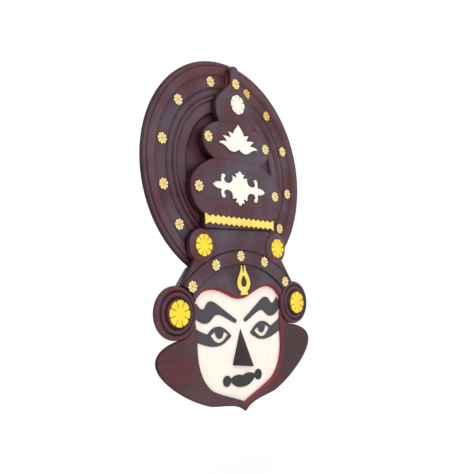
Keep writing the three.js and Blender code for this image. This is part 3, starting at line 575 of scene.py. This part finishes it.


# Halo: rounded black edge, two beads, the flat rosette track, a rib, a cone up to the ring, then the dish
# the profile's edge values on the beads are painted highlights and its side values in the grooves painted
# shade
haloShape = {
    "segments": 240,
    "profile": [
        (0.1, 0, 0, 1), (120, 0, 0, 1), (184, 0, 0, 1), (188.5, 0.2, 0, 1), (191.5, 0.8, 0, 1),
        (195.2, 3, 0, 1), (197.1, 5.6, 0, 1), (197.3, 7, 0.1, 1), (196.6, 8.9, 0.3, 0.7),
        (195.2, 10, 0.2, 0.5), (194.4, 10.2, 0.1, 0.6), (193.9, 10.9, 0.6, 0.1), (192.4, 11.4, 1, 0),
        (190, 11.3, 0.6, 0), (188.6, 10.9, 0.1, 0.4), (187.9, 11, 0, 0.9), (186.9, 12.6, 0.6, 0.2),
        (185.4, 13.6, 1, 0), (182, 13.9, 0.6, 0), (177, 13.8, 0.4, 0), (174.6, 13.5, 0.8, 0),
        (172.6, 12.2, 1, 0), (171, 10.8, 0.3, 0.4), (170, 10.7, 0, 0.2), (160, 10.7, 0, 0),
        (150, 10.7, 0, 0), (148.8, 10.4, 0, 0.5), (148, 10, 0, 0.9), (145, 10.5, 0.6, 0), (140, 11, 0.5, 0),
        (136.5, 10.9, 0.1, 0.4), (135, 10.5, 0, 0.9), (134, 11.6, 0.4, 0.3), (132.4, 13.4, 0.9, 0),
        (130.6, 13.7, 1, 0), (129, 12.8, 0.4, 0.2), (127.6, 12.2, 0, 0.8), (126, 12.3, 0.3, 0),
        (120, 13.2, 0.4, 0), (114.5, 14, 0.8, 0), (111.5, 14.1, 1, 0), (109.6, 13.2, 0.8, 0),
        (108.2, 10.6, 0.2, 0.6), (107, 9.1, 0, 0.8), (104, 8.8, 0, 0), (50, 8.7, 0, 0), (0.1, 8.7, 0, 0)],
}
putMesh("halo", *turnedShell(haloShape["profile"], (0, 0), onHalo, haloShape["segments"]),
        turnedLacquer, "lacquered_wood", "halo")
print("halo made")


# Small rosettes: eight round petals about a golden hollow. Tiers hold reach, shift, z, level and turn, and
# haloTurn and browTurn the first turn and the step
rosetteShape = {
    "radius": 9.2, "petals": 8, "sink": 0.25, "thick": 2.2, "dome": 0.25, "eye": 0.7, "columns": 14,
    "rows": 14,
    "slit": {"notch": 0.1, "mouth": 1.5, "round": 0.1, "width": 0.75, "inner": 3.4, "depth": 0.75,
             "swell": 0.5, "lip": 0.4},
    "haloRing": 160.0, "haloLevel": 11.0, "haloTurn": (0.2, 0.37), "orange": 2,
    "haloAngles": {"left": [75.2, 42.5, 14, -12.3, -37.4], "right": [71, 48.2, 20.4, -10, -37.2]},
    "tiers": {"middle": (73.3, 0.5, 163.3, 27.6, 0.2), "low": (97, -1.3, 76.8, 28.3, 0.4)},
    "spire": (0, 270, 26.9), "spireTurn": 0.15, "browLevel": 24.5, "browTurn": (0.1, 0.13),
    "brow": {"middle": (-0.8, -35.4), "inner_left": (-62.4, -50.1), "inner_right": (61.2, -46.3),
             "outer_left": (-117, -83.4), "outer_right": (118.5, -84)},
}


def putFlower(name, node, spot, shape, radius, petals, place, turn, material, slotName):
    # spot is x, z and the level that carries the flower
    shell = flowerShell(spot[:2], radius, petals, spot[2] - shape["sink"], spot[2] + shape["thick"], place,
                        shape["slit"], turn, shape["dome"], shape["eye"], shape["columns"], shape["rows"])
    putMesh(name, *shell, material, slotName, node)


def putRosette(name, node, spot, place, turn, material=goldPaint):
    putFlower(name, node, spot, rosetteShape, rosetteShape["radius"], rosetteShape["petals"], place, turn,
              material, "pale_gold_paint")


for sideName, side in sides.items():
    sign = side["sign"]
    firstTurn, turnStep = rosetteShape["haloTurn"]
    for k, degrees in enumerate(rosetteShape["haloAngles"][sideName]):
        x, z = rosetteShape["haloRing"] * np.array([sign * math.cos(math.radians(degrees)),
                                                    math.sin(math.radians(degrees))])
        putRosette(f"haloRosette_{sideName}_{k + 1}", f"halo_rosette_{sideName}_{k + 1}",
                   (x, z, rosetteShape["haloLevel"]), onHalo, firstTurn + turnStep * k * sign,
                   orangePaint if sign > 0 and k < rosetteShape["orange"] else goldPaint)
    for tier, (reach, shift, z, level, turn) in rosetteShape["tiers"].items():
        putRosette(f"{tier}TierRosette_{sideName}", f"{tier}_tier_rosette_{sideName}",
                   (sign * reach + shift, z, level), onCrown, turn)
for k, (spot, place) in enumerate(rosetteShape["brow"].items()):
    putRosette(f"browRosette_{spot}", f"brow_rosette_{spot}", (*place, rosetteShape["browLevel"]), onHead,
               rosetteShape["browTurn"][0] + rosetteShape["browTurn"][1] * k)
putRosette("spireRosette", "spire_rosette", rosetteShape["spire"], onCrown, rosetteShape["spireTurn"])
print("rosettes made")


# Large flowers: flat petals parted by dark slits
flowerShape = {
    "sink": 0.25, "thick": 2.2, "dome": 0.3, "eye": 0.0, "columns": 32, "rows": 30,
    "slit": {"notch": 0.07, "mouth": 1.3, "round": 0.035, "width": 0.8, "inner": 9.5, "depth": 1.5,
             "swell": 0.25, "lip": 0.45},
    "crown": {"spot": (3.2, 233.2, 26.9), "radius": 17.3, "petals": 8, "turn": 0.4},
    "boss": {"shift": [0, 0], "level": 29.4, "petals": 9, "turn": 0.15},
    "ear": {"shift": [0, -0.8], "level": 28.0, "petals": 8, "turn": 0.26},
}
crownFlower = flowerShape["crown"]
putFlower("crownFlower", "crown_flower", crownFlower["spot"], flowerShape, crownFlower["radius"],
          crownFlower["petals"], onCrown, crownFlower["turn"], whitePaint, "white_paint")
for sideName, side in sides.items():
    for kind in ("boss", "ear"):
        flower = flowerShape[kind]
        spot = side[kind] * [side["sign"], 1] + flower["shift"]
        putFlower(f"{kind}Flower_{sideName}", f"{kind}_flower_{sideName}", (*spot, flower["level"]),
                  flowerShape, side[kind + "Flower"], flower["petals"], onHead, flower["turn"],
                  yellowPaint, "yellow_paint")
print("flowers made")


# Head boards: lug holds the angles of the round lug under a boss; the crown stands on the top line
headShape = {
    "top": 10.6, "bossRadius": 28, "lug": (-50, 80), "lugLead": 11, "corner": (140.5, -84), "hairDip": -109,
    "hairPeak": (70, -90.5), "hairReach": 107, "hairBevel": 4.0, "plainBevel": 1.4, "hairTip": 4.2,
    "hairEnd": 161, "back": 14.3, "front": 21.5, "bandOuter": 194, "bandTop": -25.5, "bandInner": 158,
    "bandInnerTop": -50, "bandBack": 21.6, "bandFront": 24.2, "bandEdge": 0.6, "joint": 0.2,
}

# Crown plate: three tiers, each set back a little above the notch below it
crownShape = {
    "foot": 86, "footZ": 32, "footGap": 0.4, "low": (115.3, 76.5), "lowNotch": (59, 129),
    "middle": (84.8, 162), "middleNotch": (43.8, 196), "high": (51.5, 222.5), "neck": (12.5, 270),
    "spire": (11.5, 290.5), "knob": 10, "top": 303, "lap": (1.5, 3), "arc": 4, "edge": 1.5, "back": 14.3,
    "fronts": (28.0, 27.3, 26.6),
}


def tierSide(start, wide, notch):
    # out from the notch below to the widest point, then in to the notch above, as two cubic curves
    (x, z), (wx, wz), (nx, nz) = start, wide, notch
    below, above = wz - z, nz - wz
    return [(x + (wx - x) * 0.58, z + below * 0.16, wx, wz - below * 0.48, wx, wz),
            (wx, wz + above * 0.47, nx + (wx - nx) * 0.54, nz - above * 0.22, nx, nz)]


def tierOutline(first, steps, notch=None):
    # right side up, a shallow arc across the notch if there is one, left side down
    right = drawn(first, *steps)
    if notch is None:
        return fromHalf(right)
    x = np.linspace(notch[0], -notch[0], 41)[1:-1]
    across = np.stack([x, notch[1] + crownShape["arc"] * (1 - (x / notch[0]) ** 2)], 1)
    return np.vstack([right, across, (right * [-1, 1])[::-1]])


def crownShells():
    # each tier starts a little under the notch below it
    s = crownShape
    footRise, tilt = headShape["top"] + s["footGap"], s["foot"] * math.sin(crownLean)
    footTop = (s["foot"] - 1, s["footZ"])
    low = tierOutline((s["foot"], footRise + tilt), [footTop, *tierSide(footTop, s["low"], s["lowNotch"])],
                      s["lowNotch"])
    low[-1, 1] = footRise - tilt
    middle = tierOutline(
        np.subtract(s["lowNotch"], s["lap"]),
        [s["lowNotch"], *tierSide(s["lowNotch"], s["middle"], s["middleNotch"])], s["middleNotch"])
    (wx, wz), (nx, nz), (sx, sz), knob, top = s["high"], s["neck"], s["spire"], s["knob"], s["top"]
    rise = nz - wz
    high = tierOutline(np.subtract(s["middleNotch"], s["lap"]), [
        s["middleNotch"],
        (wx - 3, s["middleNotch"][1] + 7, wx, wz - 10, wx, wz),
        (wx, wz + rise * 0.38, nx * 2.1, wz + rise * 0.67, nx, nz),
        (sx, nz + 7, sx - 0.5, sz - 6, sx, sz),
        (knob, sz + 6), (knob - 1, top - 1.4, knob / 2, top, 0, top)])
    return [boardShell(outline, s["back"], front, s["edge"], onCrown)
            for outline, front in zip((low, middle, high), s["fronts"])]


putMesh("crownPlate", *joined(crownShells()), crownLacquer, "lacquered_wood", "crown_plate")
print("crown plate made")


# Lotus: a tall middle petal, three smaller petals a side and a two-lobed base; the fleur shares its build
ornamentBuild = {"sink": 0.25, "thick": 2.2, "edge": 0.7, "step": 0.5, "margin": 0.5}
lotusShape = dict(ornamentBuild, x=1.1, half=50, height=50.5, foot=145.6, level=27.6)


def lotusOutline():
    # steps are in shares of the half width and of the height
    size = np.array([lotusShape["half"], lotusShape["height"]])
    steps = [
        (0.07, 0.93, 0.15, 0.84), (0.25, 0.74, 0.27, 0.64), (0.52, 0.685), (0.39, 0.47),
        (0.6, 0.52, 0.8, 0.5), (0.68, 0.42, 0.585, 0.315), (0.88, 0.34, 1, 0.225), (0.74, 0.22, 0.58, 0.09),
        (0.28, -0.1, 0, 0.125)]
    return fromHalf(drawn((0, 1), *steps)[::-1]) * size + [lotusShape["x"], lotusShape["foot"]]


putCutout("lotusOrnament", "lotus_ornament", lotusOutline(), lotusShape, onCrown, whitePaint, "white_paint")


# Fleur ornament: a lobed middle, scrolls above and below each arm, pointed ends
fleurShape = dict(ornamentBuild, x=-0.6, half=66.3, rise=30.3, z=82.2, tilt=1.2, level=28.3)


def tilted(points, degrees):
    # turned clockwise: x' = x cos a + z sin a, z' = z cos a - x sin a
    a = math.radians(degrees)
    return points @ np.array([[math.cos(a), -math.sin(a)], [math.sin(a), math.cos(a)]])


def fleurOutline():
    f, r = fleurShape["half"], fleurShape["rise"]
    quarter = drawn(
        (0, r), (4.4, r - 1, 4.8, r - 5), (11.5, r - 4.6), (9.4, r - 8, 8.2, r - 12.4), (18.5, r - 10),
        (17.8, 13, 20.5, 10), (24, 6, 31.3, 6), (40, 6.3, 40, 12.6), (36.2, 17.6), (38.5, 21.4, 43, 20.4),
        (48, 17, 46.2, 5.8), (58, 7.6, f, 0))
    lower = (quarter[:-1] * [1, -1])[::-1]
    outline = tilted(fromHalf(np.vstack([quarter, lower])[::-1]), fleurShape["tilt"])
    return outline + [fleurShape["x"], fleurShape["z"]]


putCutout("fleurOrnament", "fleur_ornament", fleurOutline(), fleurShape, onCrown, whitePaint, "white_paint")


# Zigzag strip: toothed edges and flared ends
stripShape = {
    "half": 87, "end": 11, "z": 23, "teeth": 12, "peak": 8.4, "valley": 4.6, "flare": 9.8, "tilt": 0.7,
    "level": 28.3, "sink": 0.25, "thick": 2.2, "edge": 0.5, "step": 0.45, "margin": 0.4,
}


def stripOutline():
    # x runs in even steps of half a tooth, z alternates between valley and peak; the lower edge is turned
    s = stripShape
    k = np.arange(2 * s["teeth"] + 1)
    x = (s["half"] - s["end"]) * (1 - k / s["teeth"])
    upper = np.stack([x, np.where(k % 2, s["peak"], s["valley"])], 1)
    flare = np.array([[s["half"], -s["flare"]], [s["half"], s["flare"]]])
    return tilted(np.vstack([flare, upper, -flare, -upper]), s["tilt"]) + [0, s["z"]]


putCutout("zigzagStrip", "zigzag_strip", stripOutline(), stripShape, onCrown, strawPaint, "straw_paint")
print("crown ornaments made")


# Outlines of the hairline, the ear cuts, the slanted waist and the round lugs under the bosses

def onCircle(centre, radius, degrees):
    # centre + radius (cos a, sin a)
    return centre + radius * np.array([math.cos(math.radians(degrees)), math.sin(math.radians(degrees))])


def degreesAt(centre, p):
    # bearing of p from the centre
    return math.degrees(math.atan2(p[1] - centre[1], p[0] - centre[0]))


def slantFoot(side):
    # where the slant from the boss towards its corner first meets the ear cut
    top = onCircle(side["boss"], headShape["bossRadius"], headShape["lug"][0])
    along = np.array(headShape["corner"]) - top
    along /= np.linalg.norm(along)
    reach = side["ear"] - top
    across = reach[0] * along[1] - reach[1] * along[0]
    return top + along * (reach @ along - math.sqrt(side["cut"] ** 2 - across ** 2))


def sideSteps(side, start):
    # round the ear cut, up the slant, round the boss and along the top to the middle
    boss, top = side["boss"], headShape["top"]
    return [(*side["ear"], side["cut"], start, degreesAt(side["ear"], slantFoot(side))),
            (*boss, headShape["bossRadius"], *headShape["lug"]),
            (boss[0] - headShape["lugLead"], top), (0, top)]


def circlesMeet(a, ra, b, rb):
    # the higher point where two circles cross
    gap = np.subtract(b, a)
    d = np.linalg.norm(gap)
    along = (ra * ra - rb * rb + d * d) / (2 * d)
    across = math.sqrt(ra * ra - along * along)
    middle = a + gap / d * along
    both = [middle + s * across * np.array([-gap[1], gap[0]]) / d for s in (-1, 1)]
    return max(both, key=lambda p: p[1])


def foreheadHalf(side):
    # the hairline's two curves out to the ear cut, then the side
    dip, (px, pz), end = headShape["hairDip"], headShape["hairPeak"], headShape["hairEnd"]
    ex, ez = onCircle(side["ear"], side["cut"], end)
    return drawn((0, dip), (px * 0.34, dip, px * 0.57, pz, px, pz), (px + 20, pz, ex - 11, ez + 12, ex, ez),
                 *sideSteps(side, end))


def hairlineRed(points):
    # 1 along the hairline, 0 on the other walls
    below = points[:, 1] < headShape["hairPeak"][1] + 2
    return (below & (np.abs(points[:, 0]) < headShape["hairReach"])).astype(float)


def awayFromHairline(points):
    # the other edges are narrower by this much
    return (hairlineRed(points) - 1) * (headShape["hairBevel"] - headShape["plainBevel"])


def bothHalves(half):
    # one half worked out for each side, because the sides differ a little
    return fromHalves(half(sides["right"]), half(sides["left"]))


putMesh("foreheadBoard",
        *boardShell(bothHalves(foreheadHalf), headShape["back"], headShape["front"], headShape["hairBevel"],
                    onHead, red=hairlineRed, margin=2, tip=headShape["hairTip"], wide=awayFromHairline),
        foreheadLacquer, "lacquered_wood", "forehead_board")

outerCircle = np.array([0, headShape["bandTop"] - headShape["bandOuter"]])
innerCircle = np.array([0, headShape["bandInnerTop"] - headShape["bandInner"]])


def headbandHalf(side):
    # along the outer circle to the ear cut, then the side
    radius = headShape["bandOuter"] + headShape["joint"]
    meet = circlesMeet(outerCircle, radius, side["ear"], side["cut"])
    return drawn((0, outerCircle[1] + radius), (*outerCircle, radius, 90, degreesAt(outerCircle, meet)),
                 *sideSteps(side, degreesAt(side["ear"], meet)))


def browBandHalf(side):
    # between the inner and outer circle, ended by the ear cut
    radius = headShape["bandOuter"] - headShape["joint"]
    high = circlesMeet(outerCircle, radius, side["ear"], side["cut"])
    low = circlesMeet(innerCircle, headShape["bandInner"], side["ear"], side["cut"])
    return drawn((0, headShape["bandInnerTop"]),
                 (*innerCircle, headShape["bandInner"], 90, degreesAt(innerCircle, low)),
                 (*side["ear"], side["cut"], degreesAt(side["ear"], low), degreesAt(side["ear"], high)),
                 (*outerCircle, radius, degreesAt(outerCircle, high), 90))


for name, node, half in (("headbandPlate", "headband_plate", headbandHalf),
                         ("browBand", "brow_band", browBandHalf)):
    putMesh(name, *boardShell(bothHalves(half), headShape["bandBack"], headShape["bandFront"],
                              headShape["bandEdge"], onHead), bandLacquer, "lacquered_wood", node)
print("head boards made")


# Upper bosses: low domes with a faint ring round the flower
bossShape = {"segments": 128, "profile": [
    (0.1, 24.3, 0, 1), (26, 24.3, 0, 1), (28, 24.6, 0.3, 0.5), (27.9, 25.4, 1, 0.1), (26.6, 26.7, 0.9, 0),
    (24.6, 28, 0.35, 0), (22, 28.8, 0.1, 0), (19.5, 29.1, 0, 0), (15, 29.1, 0, 0), (0.1, 29.1, 0, 0)]}
# Ear discs: two stepped mouldings round the hub; radii are shares of the disc's
# edge values on the moulding crests are painted highlights and side values in the grooves painted shade
earShape = {"segments": 160, "profile": [
    (0.003, 14.5, 0, 1), (0.94, 14.5, 0, 1), (0.992, 14.9, 0.2, 0.8), (1, 16.4, 0.3, 0.6),
    (0.998, 19, 0.5, 0.3), (0.982, 21.6, 0.8, 0.1), (0.948, 23.5, 1, 0), (0.905, 24.3, 0.8, 0),
    (0.86, 24.1, 0.4, 0), (0.825, 23.2, 0.1, 0.4), (0.8, 21.9, 0, 0.9), (0.784, 21.8, 0, 0.9),
    (0.765, 22.9, 0.2, 0.4), (0.735, 24.7, 0.8, 0), (0.695, 25.5, 1, 0), (0.65, 25.4, 0.6, 0),
    (0.605, 24.5, 0.2, 0.3), (0.572, 23.4, 0, 0.9), (0.557, 23.4, 0, 0.9), (0.545, 25, 0.2, 0.4),
    (0.53, 27, 0.8, 0), (0.505, 27.6, 0.8, 0), (0.46, 27.7, 0.1, 0.1), (0.003, 27.7, 0, 0.2)]}
for sideName, side in sides.items():
    mirror = [side["sign"], 1]
    putMesh(f"upperBoss_{sideName}",
            *turnedShell(bossShape["profile"], side["boss"] * mirror, onHead, bossShape["segments"]),
            bossLacquer, "lacquered_wood", f"upper_boss_{sideName}")
    earProfile = np.array(earShape["profile"]) * [side["earRadius"], 1, 1, 1]
    putMesh(f"earDisc_{sideName}",
            *turnedShell(earProfile, side["ear"] * mirror, onHead, earShape["segments"]),
            earLacquer, "lacquered_wood", f"ear_disc_{sideName}")
print("bosses and ears made")


# Hair frame: the face opening, a wing under each ear and the pointed chin; red and bevel are tables over z
hairShape = {
    "opening": 105.5, "wideZ": -185, "topZ": -137, "jaw": (75, -254), "chin": -284, "wing": (190.5, -196),
    "outerJaw": (80, -278), "tip": -300, "earEnd": 264, "back": 14.3, "front": 19.3, "edge": 1.6,
    "edgeTip": 2.2, "leftRed": 0.1,
    "red": ([-300, -286, -278, -254, -215, -185, -137], [0, 12, 45, 92, 118, 125, 118]),
    "bevel": ([-286, -262, -215, -160, -137], [0.4, 1.6, 3.4, 3, 1.2]),
}


def openingTop(side):
    # the opening's side ends on the ear cut
    x = side["ear"][0] - math.sqrt(side["cut"] ** 2 - (hairShape["topZ"] - side["ear"][1]) ** 2)
    return np.array([x, hairShape["topZ"]])


def openingSteps(side):
    # chin to jaw, jaw to the widest point, and up to the ear cut, as three cubic curves
    s = hairShape
    jx, jz = s["jaw"]
    w, h = s["opening"], s["wideZ"]
    top = openingTop(side)
    return [(jx * 0.27, s["chin"] + 10, jx * 0.67, jz - 13, jx, jz), (jx + 22, jz + 16, w, h - 30, w, h),
            (w, h + 17, top[0] - 3, top[1] - 13, *top)]


def hairHalf(side):
    # up the opening, round the ear cut, out round the wing and down to the chin's tip
    s = hairShape
    (rx, rz), (wx, wz), (ox, oz) = onCircle(side["ear"], side["cut"], s["earEnd"]), s["wing"], s["outerJaw"]
    start = degreesAt(side["ear"], openingTop(side)) % 360
    return drawn((0, s["chin"]), *openingSteps(side), (*side["ear"], side["cut"], start, s["earEnd"]),
                 (rx + 22, rz - 4, wx, wz + 18, wx, wz), (wx, wz - 26, ox + 50, oz + 16, ox, oz),
                 (ox * 0.6, oz - 6, ox * 0.2, oz - 6, 0, s["tip"]))


def openingRed(points):
    # 1 on the opening's right wall, faint on the left one, 0 outside the opening; the right wall's red is
    # rubbed lacquer with a painted highlight where it faces the lamp
    reach = np.interp(points[:, 1], *hairShape["red"])
    inside = (np.abs(points[:, 0]) < reach) & (points[:, 1] > hairShape["chin"] - 2)
    return inside * np.where(points[:, 0] > 0, 1, hairShape["leftRed"])


def openingBevel(points):
    # the opening's edge was rounded by hand, widest beside the cheeks
    return openingRed(points) * np.interp(points[:, 1], *hairShape["bevel"])


putMesh("hairFrame",
        *boardShell(bothHalves(hairHalf), hairShape["back"], hairShape["front"], hairShape["edge"], onHead,
                    red=openingRed, wide=openingBevel, tip=hairShape["edgeTip"]),
        hairLacquer, "lacquered_wood", "hair_frame")


# Face panel: flat cream front and dark walls; lug is under the ear, shoulder where it meets the halo's circle
panelShape = {
    "lap": 7.0, "lapDrop": 0.5, "flankTop": -165, "lug": (129, 26), "edge": 135, "edgeRise": 20,
    "shoulder": 108, "clear": 197.7, "back": 0.0, "front": 14.2, "rounding": 0.8, "step": 1.5,
}


def panelHalf(side):
    # under the hair frame, behind the ear, up beside the slant and along the halo's edge
    s = panelShape
    half = evened(fromHalf(drawn((0, hairShape["chin"]), *openingSteps(side))), s["step"], 0)
    lap = half - normalsOf(half) * s["lap"]
    flank = lap[(half[:, 0] > 1) & (half[:, 1] < s["flankTop"])]
    flank = flank[np.argsort(flank[:, 1])]
    start = -math.degrees(math.acos(s["shoulder"] / s["clear"]))
    edge, corner = s["edge"], headShape["corner"][1]
    top = drawn((s["lug"][0], side["ear"][1] - s["lug"][1]), (edge, corner - s["edgeRise"]), (edge, corner),
                onCircle(np.array([0, headDrop]), s["clear"], start), (0, headDrop, s["clear"], start, -90))
    return np.vstack([[[0, hairShape["chin"] - s["lap"] - s["lapDrop"]]], flank, top])


putMesh("facePanel",
        *boardShell(bothHalves(panelHalf), panelShape["back"], panelShape["front"], panelShape["rounding"],
                    onHead, step=panelShape["step"], margin=1.0),
        creamPaint, "cream_paint", "face_panel")
print("face boards made")


# Brows, eyes and mouth: thin slate cut-outs on the panel
faceShape = {
    "level": 14.25, "sink": 0, "thick": 2.05, "edge": 0.45, "step": 0.6, "margin": 0.4,
    "crescentX": (35.2, 73), "crescentZ": (-178, -160.8), "eyeGap": 0.4,
}


def whiteWalls(points):
    # 1 on the wall of the crescent, 0 on the eye's outer wall; the crescent's wall takes the pale colour as
    # painted light, so the narrow hole shows less shade
    x, z = np.abs(points[:, 0]), points[:, 1]
    (near, far), (low, high) = faceShape["crescentX"], faceShape["crescentZ"]
    return ((x > near) & (x < far) & (z > low) & (z < high)).astype(float)


def browOutline(side):
    # cubic curves round the brow; points inside the ear cut move out onto it
    points = drawn(
        (9.6, -144), (9, -150, 14, -149.2), (32, -142, 44, -132.2, 56.5, -132.2),
        (66, -132.2, 70, -144.5, 82, -144.5), (92, -144.5, 99, -140, 105, -134), (108, -126), (105.5, -117),
        (101.5, -111), (95, -121.3, 88, -121.3), (81, -121.3, 81, -109.2, 69.5, -109.2),
        (60, -109.2, 54, -116.5, 9.6, -144))[:-1]
    away = points - side["ear"]
    far = np.linalg.norm(away, axis=1, keepdims=True)
    return np.where(far < side["cut"], side["ear"] + away / far * side["cut"], points)


def eyeOutline():
    # an almond with a tail that ends at the face opening
    tail = hairShape["opening"] - faceShape["eyeGap"]
    return drawn(
        (24, -169.8),
        (33, -177, 45, -184, 59.5, -184), (78, -184, 90, -178, tail, -172.8), (tail, -151),
        (93, -158.5, 80, -162.2), (71, -155, 65, -151.8, 55.7, -151.8),
        (44, -151.8, 34, -160, 24, -169.8))[:-1]


def crescentOutline():
    # under the iris, open to both corners of the eye
    return drawn(
        (72.3, -165.2),
        (67, -172.5, 61, -177.6, 54.7, -177.6), (47, -177.6, 41, -171.5, 35.3, -166.8), (42.6, -162.6),
        (44.5, -176.8, 63, -176.8, 65, -161), (72.3, -165.2))[:-1]


for sideName, side in sides.items():
    mirror = [side["sign"], 1]
    putCutout(f"brow_{sideName}", f"brow_{sideName}", browOutline(side) * mirror, faceShape, onHead,
              slatePaint, "slate_paint")
    putCutout(f"eye_{sideName}", f"eye_{sideName}", eyeOutline() * mirror, faceShape, onHead,
              slatePaint, "slate_paint", [crescentOutline() * mirror], whiteWalls)

mouthShape = {"knob": (39.6, -243.7, 9.2), "open": 162, "top": -237, "low": -258.8}


def mouthOutline():
    # lower lip, round knob, upper lip
    (kx, kz, kr), turn = mouthShape["knob"], mouthShape["open"]
    top, low = mouthShape["top"], mouthShape["low"]
    return fromHalf(drawn(
        (0, low), (13, low, 22, low + 4, 29, kz - 3.5), (kx, kz, kr, -turn, turn), (29, kz + 3),
        (23, top - 1, 18, top, 14, top), (7, top, 0, top - 2.8)))


putCutout("mouth", "mouth", mouthOutline(), faceShape, onHead, mouthPaint, "slate_paint")


# Nose: a wedge flush at its apex and proud at its base; rings hold share of the ease, of the height, and side
noseShape = {
    "top": -160, "left": (-23.2, -219.7), "right": (25.8, -227.9), "level": 14.3, "start": 0.8, "rise": 5.4,
    "ease": 1.6, "step": 0.8,
    "rings": [(0, 0.0, 1), (0, 0.72, 1), (0.12, 0.86, 0.3), (0.45, 0.96, 0), (1.0, 1.0, 0)],
}


def noseShell():
    # rings of the triangle outline: each ring draws in by the ease, its level grows down the nose
    s = noseShape
    ring = evened(np.array([[0, s["top"]], s["left"], s["right"]], float), s["step"], 2)
    normals = normalsOf(ring)
    room = boardBuild["roomShare"] * roomOf(ring, normals)
    slope = (s["right"][1] - s["left"][1]) / (s["right"][0] - s["left"][0])
    base = s["left"][1] - slope * s["left"][0]

    def downTo(at):
        # 0 at the apex, 1 along the slanted base
        return (s["top"] - at[:, 1]) / (s["top"] - base - slope * at[:, 0])

    down, rings, count = downTo(ring), [], len(ring)
    for inset, share, _ in s["rings"]:
        moved = ring + normals * np.minimum(inset * s["ease"], room)[:, None]
        below = downTo(moved) if share == 1 else down
        height = s["level"] + (s["start"] + (s["rise"] - s["start"]) * below) * share
        rings.append(np.stack([moved[:, 0], height, moved[:, 1]], 1))
    points, faces = np.vstack(rings), [gridFaces(len(rings), count)]
    for inFront, which in ((0, 0), (1, len(rings) - 1)):
        numbers = which * count + np.arange(count)
        faces.append(capFaces(points[:, [0, 2]], numbers, [rings[which][:, [0, 2]]], inFront))
    side = np.repeat([float(row[2]) for row in s["rings"]], count)
    return onHead(points), faces, {"edge": np.zeros(len(points)), "side": side}


putMesh("nose", *noseShell(), noseStain, "dark_stain", "nose")


# Flame mark: two horns over a teardrop opening and a spread foot
flameShape = {
    "x": 5.5, "top": -51.5, "half": 16.3, "wide": -82, "foot": -102.6, "level": 21.55, "sink": 0,
    "thick": 2.45, "edge": 0.6, "step": 0.5, "margin": 0.5,
}


def flameOutline():
    # foot, belly and one horn, mirrored about the middle
    h, t, w, f = (flameShape[key] for key in ("half", "top", "wide", "foot"))
    half = drawn((0, f), (9.2, f), (9.2, f + 4, 7.2, f + 6), (13, f + 9, h, w - 6, h, w),
                 (h, w + 12, 5.5, t - 14, 5, t), (2.6, t), (2.4, t - 8, 0, t - 15))
    return fromHalf(half) + [flameShape["x"], 0]


def teardropOutline():
    # round below and pointed above
    w = flameShape["wide"]
    return fromHalf(drawn((0, w - 6.5), (10, w - 6.5, 8.5, w + 5, 0, w + 14))) + [flameShape["x"], 0]


putCutout("flameMark", "flame_mark", flameOutline(), flameShape, onHead, strawPaint, "straw_paint",
          [teardropOutline()])
print("face features made")


# Camera at the photograph's viewing angle: bearing, pitch and roll in degrees
viewShape = {
    "place": (-0.745, -0.7049, -0.1916), "bearing": 47.3218, "pitch": 4.2949, "roll": -2.9685,
    "lens": 44.25, "sensor": 36,
}


def putCamera():
    # ahead, right and top are the view's own axes, turned by the roll
    a, p, r = (math.radians(viewShape[k]) for k in ("bearing", "pitch", "roll"))
    ahead = np.array([math.sin(a) * math.cos(p), math.cos(a) * math.cos(p), math.sin(p)])
    level = np.array([math.cos(a), -math.sin(a), 0])
    up = np.cross(level, ahead)
    right = level * math.cos(r) + up * math.sin(r)
    top = up * math.cos(r) - level * math.sin(r)
    camera = bpy.data.objects.new("viewCamera", bpy.data.cameras.new("viewCamera"))
    camera.data.lens = viewShape["lens"]
    camera.data.sensor_width = viewShape["sensor"]
    camera.data.dof.use_dof = False
    turned = Matrix(np.stack([right, top, -ahead], 1).tolist()).to_4x4()
    camera.matrix_world = Matrix.Translation(viewShape["place"]) @ turned
    bpy.context.scene.collection.objects.link(camera)
    bpy.context.scene.camera = camera


putCamera()


# Pale floor, white surroundings and a soft lamp
stageShape = {
    "floorZ": -0.62, "floorSize": 24.0,
    "floorLook": {"Size": 2.0, "Tone": (1, 1, 1, 1), "Thin": (0.99, 0.99, 0.99, 1)}, "roughness": 0.8,
    "specular": 0.2, "sky": (1, 1, 1, 1), "world": 1.04, "lampPlace": (-1.6, -1.2, 1.3),
    "lampAim": (0, 0, 0), "lampSize": 0.9, "lampPower": 10,
}


def putFloor():
    # flat square floor well below the mask
    half, z = stageShape["floorSize"] / 2, stageShape["floorZ"]
    mesh = bpy.data.meshes.new("floor")
    corners = [(-half, -half, z), (half, -half, z), (half, half, z), (-half, half, z)]
    mesh.from_pydata(corners, [], [(0, 1, 2, 3)])
    floor = bpy.data.objects.new("floor", mesh)
    bpy.context.scene.collection.objects.link(floor)
    material, tree, shader, vector = startMaterial(
        "paleFloor", stageShape["roughness"], stageShape["specular"])
    mottle = placed(tree, mottleGroup, vector, **stageShape["floorLook"])
    tree.links.new(mottle["Colour"], shader.inputs["Base Color"])
    mesh.materials.append(material)


def putWorld():
    # even white surroundings
    world = bpy.data.worlds.new("studio")
    world.use_nodes = True
    surroundings = world.node_tree.nodes["Background"].inputs
    surroundings["Color"].default_value = stageShape["sky"]
    surroundings["Strength"].default_value = stageShape["world"]
    bpy.context.scene.world = world


def putLamp():
    # square area lamp that faces its aim
    lamp = bpy.data.lights.new("keyLight", "AREA")
    lamp.size = stageShape["lampSize"]
    lamp.energy = stageShape["lampPower"]
    holder = bpy.data.objects.new("keyLight", lamp)
    away = Vector(stageShape["lampAim"]) - Vector(stageShape["lampPlace"])
    turned = Matrix.LocRotScale(None, away.to_track_quat("-Z", "Y"), None)
    holder.matrix_world = Matrix.Translation(stageShape["lampPlace"]) @ turned
    bpy.context.scene.collection.objects.link(holder)


putFloor()
putWorld()
putLamp()
bpy.context.scene.view_settings.view_transform = "Standard"
print("stage and camera ready")
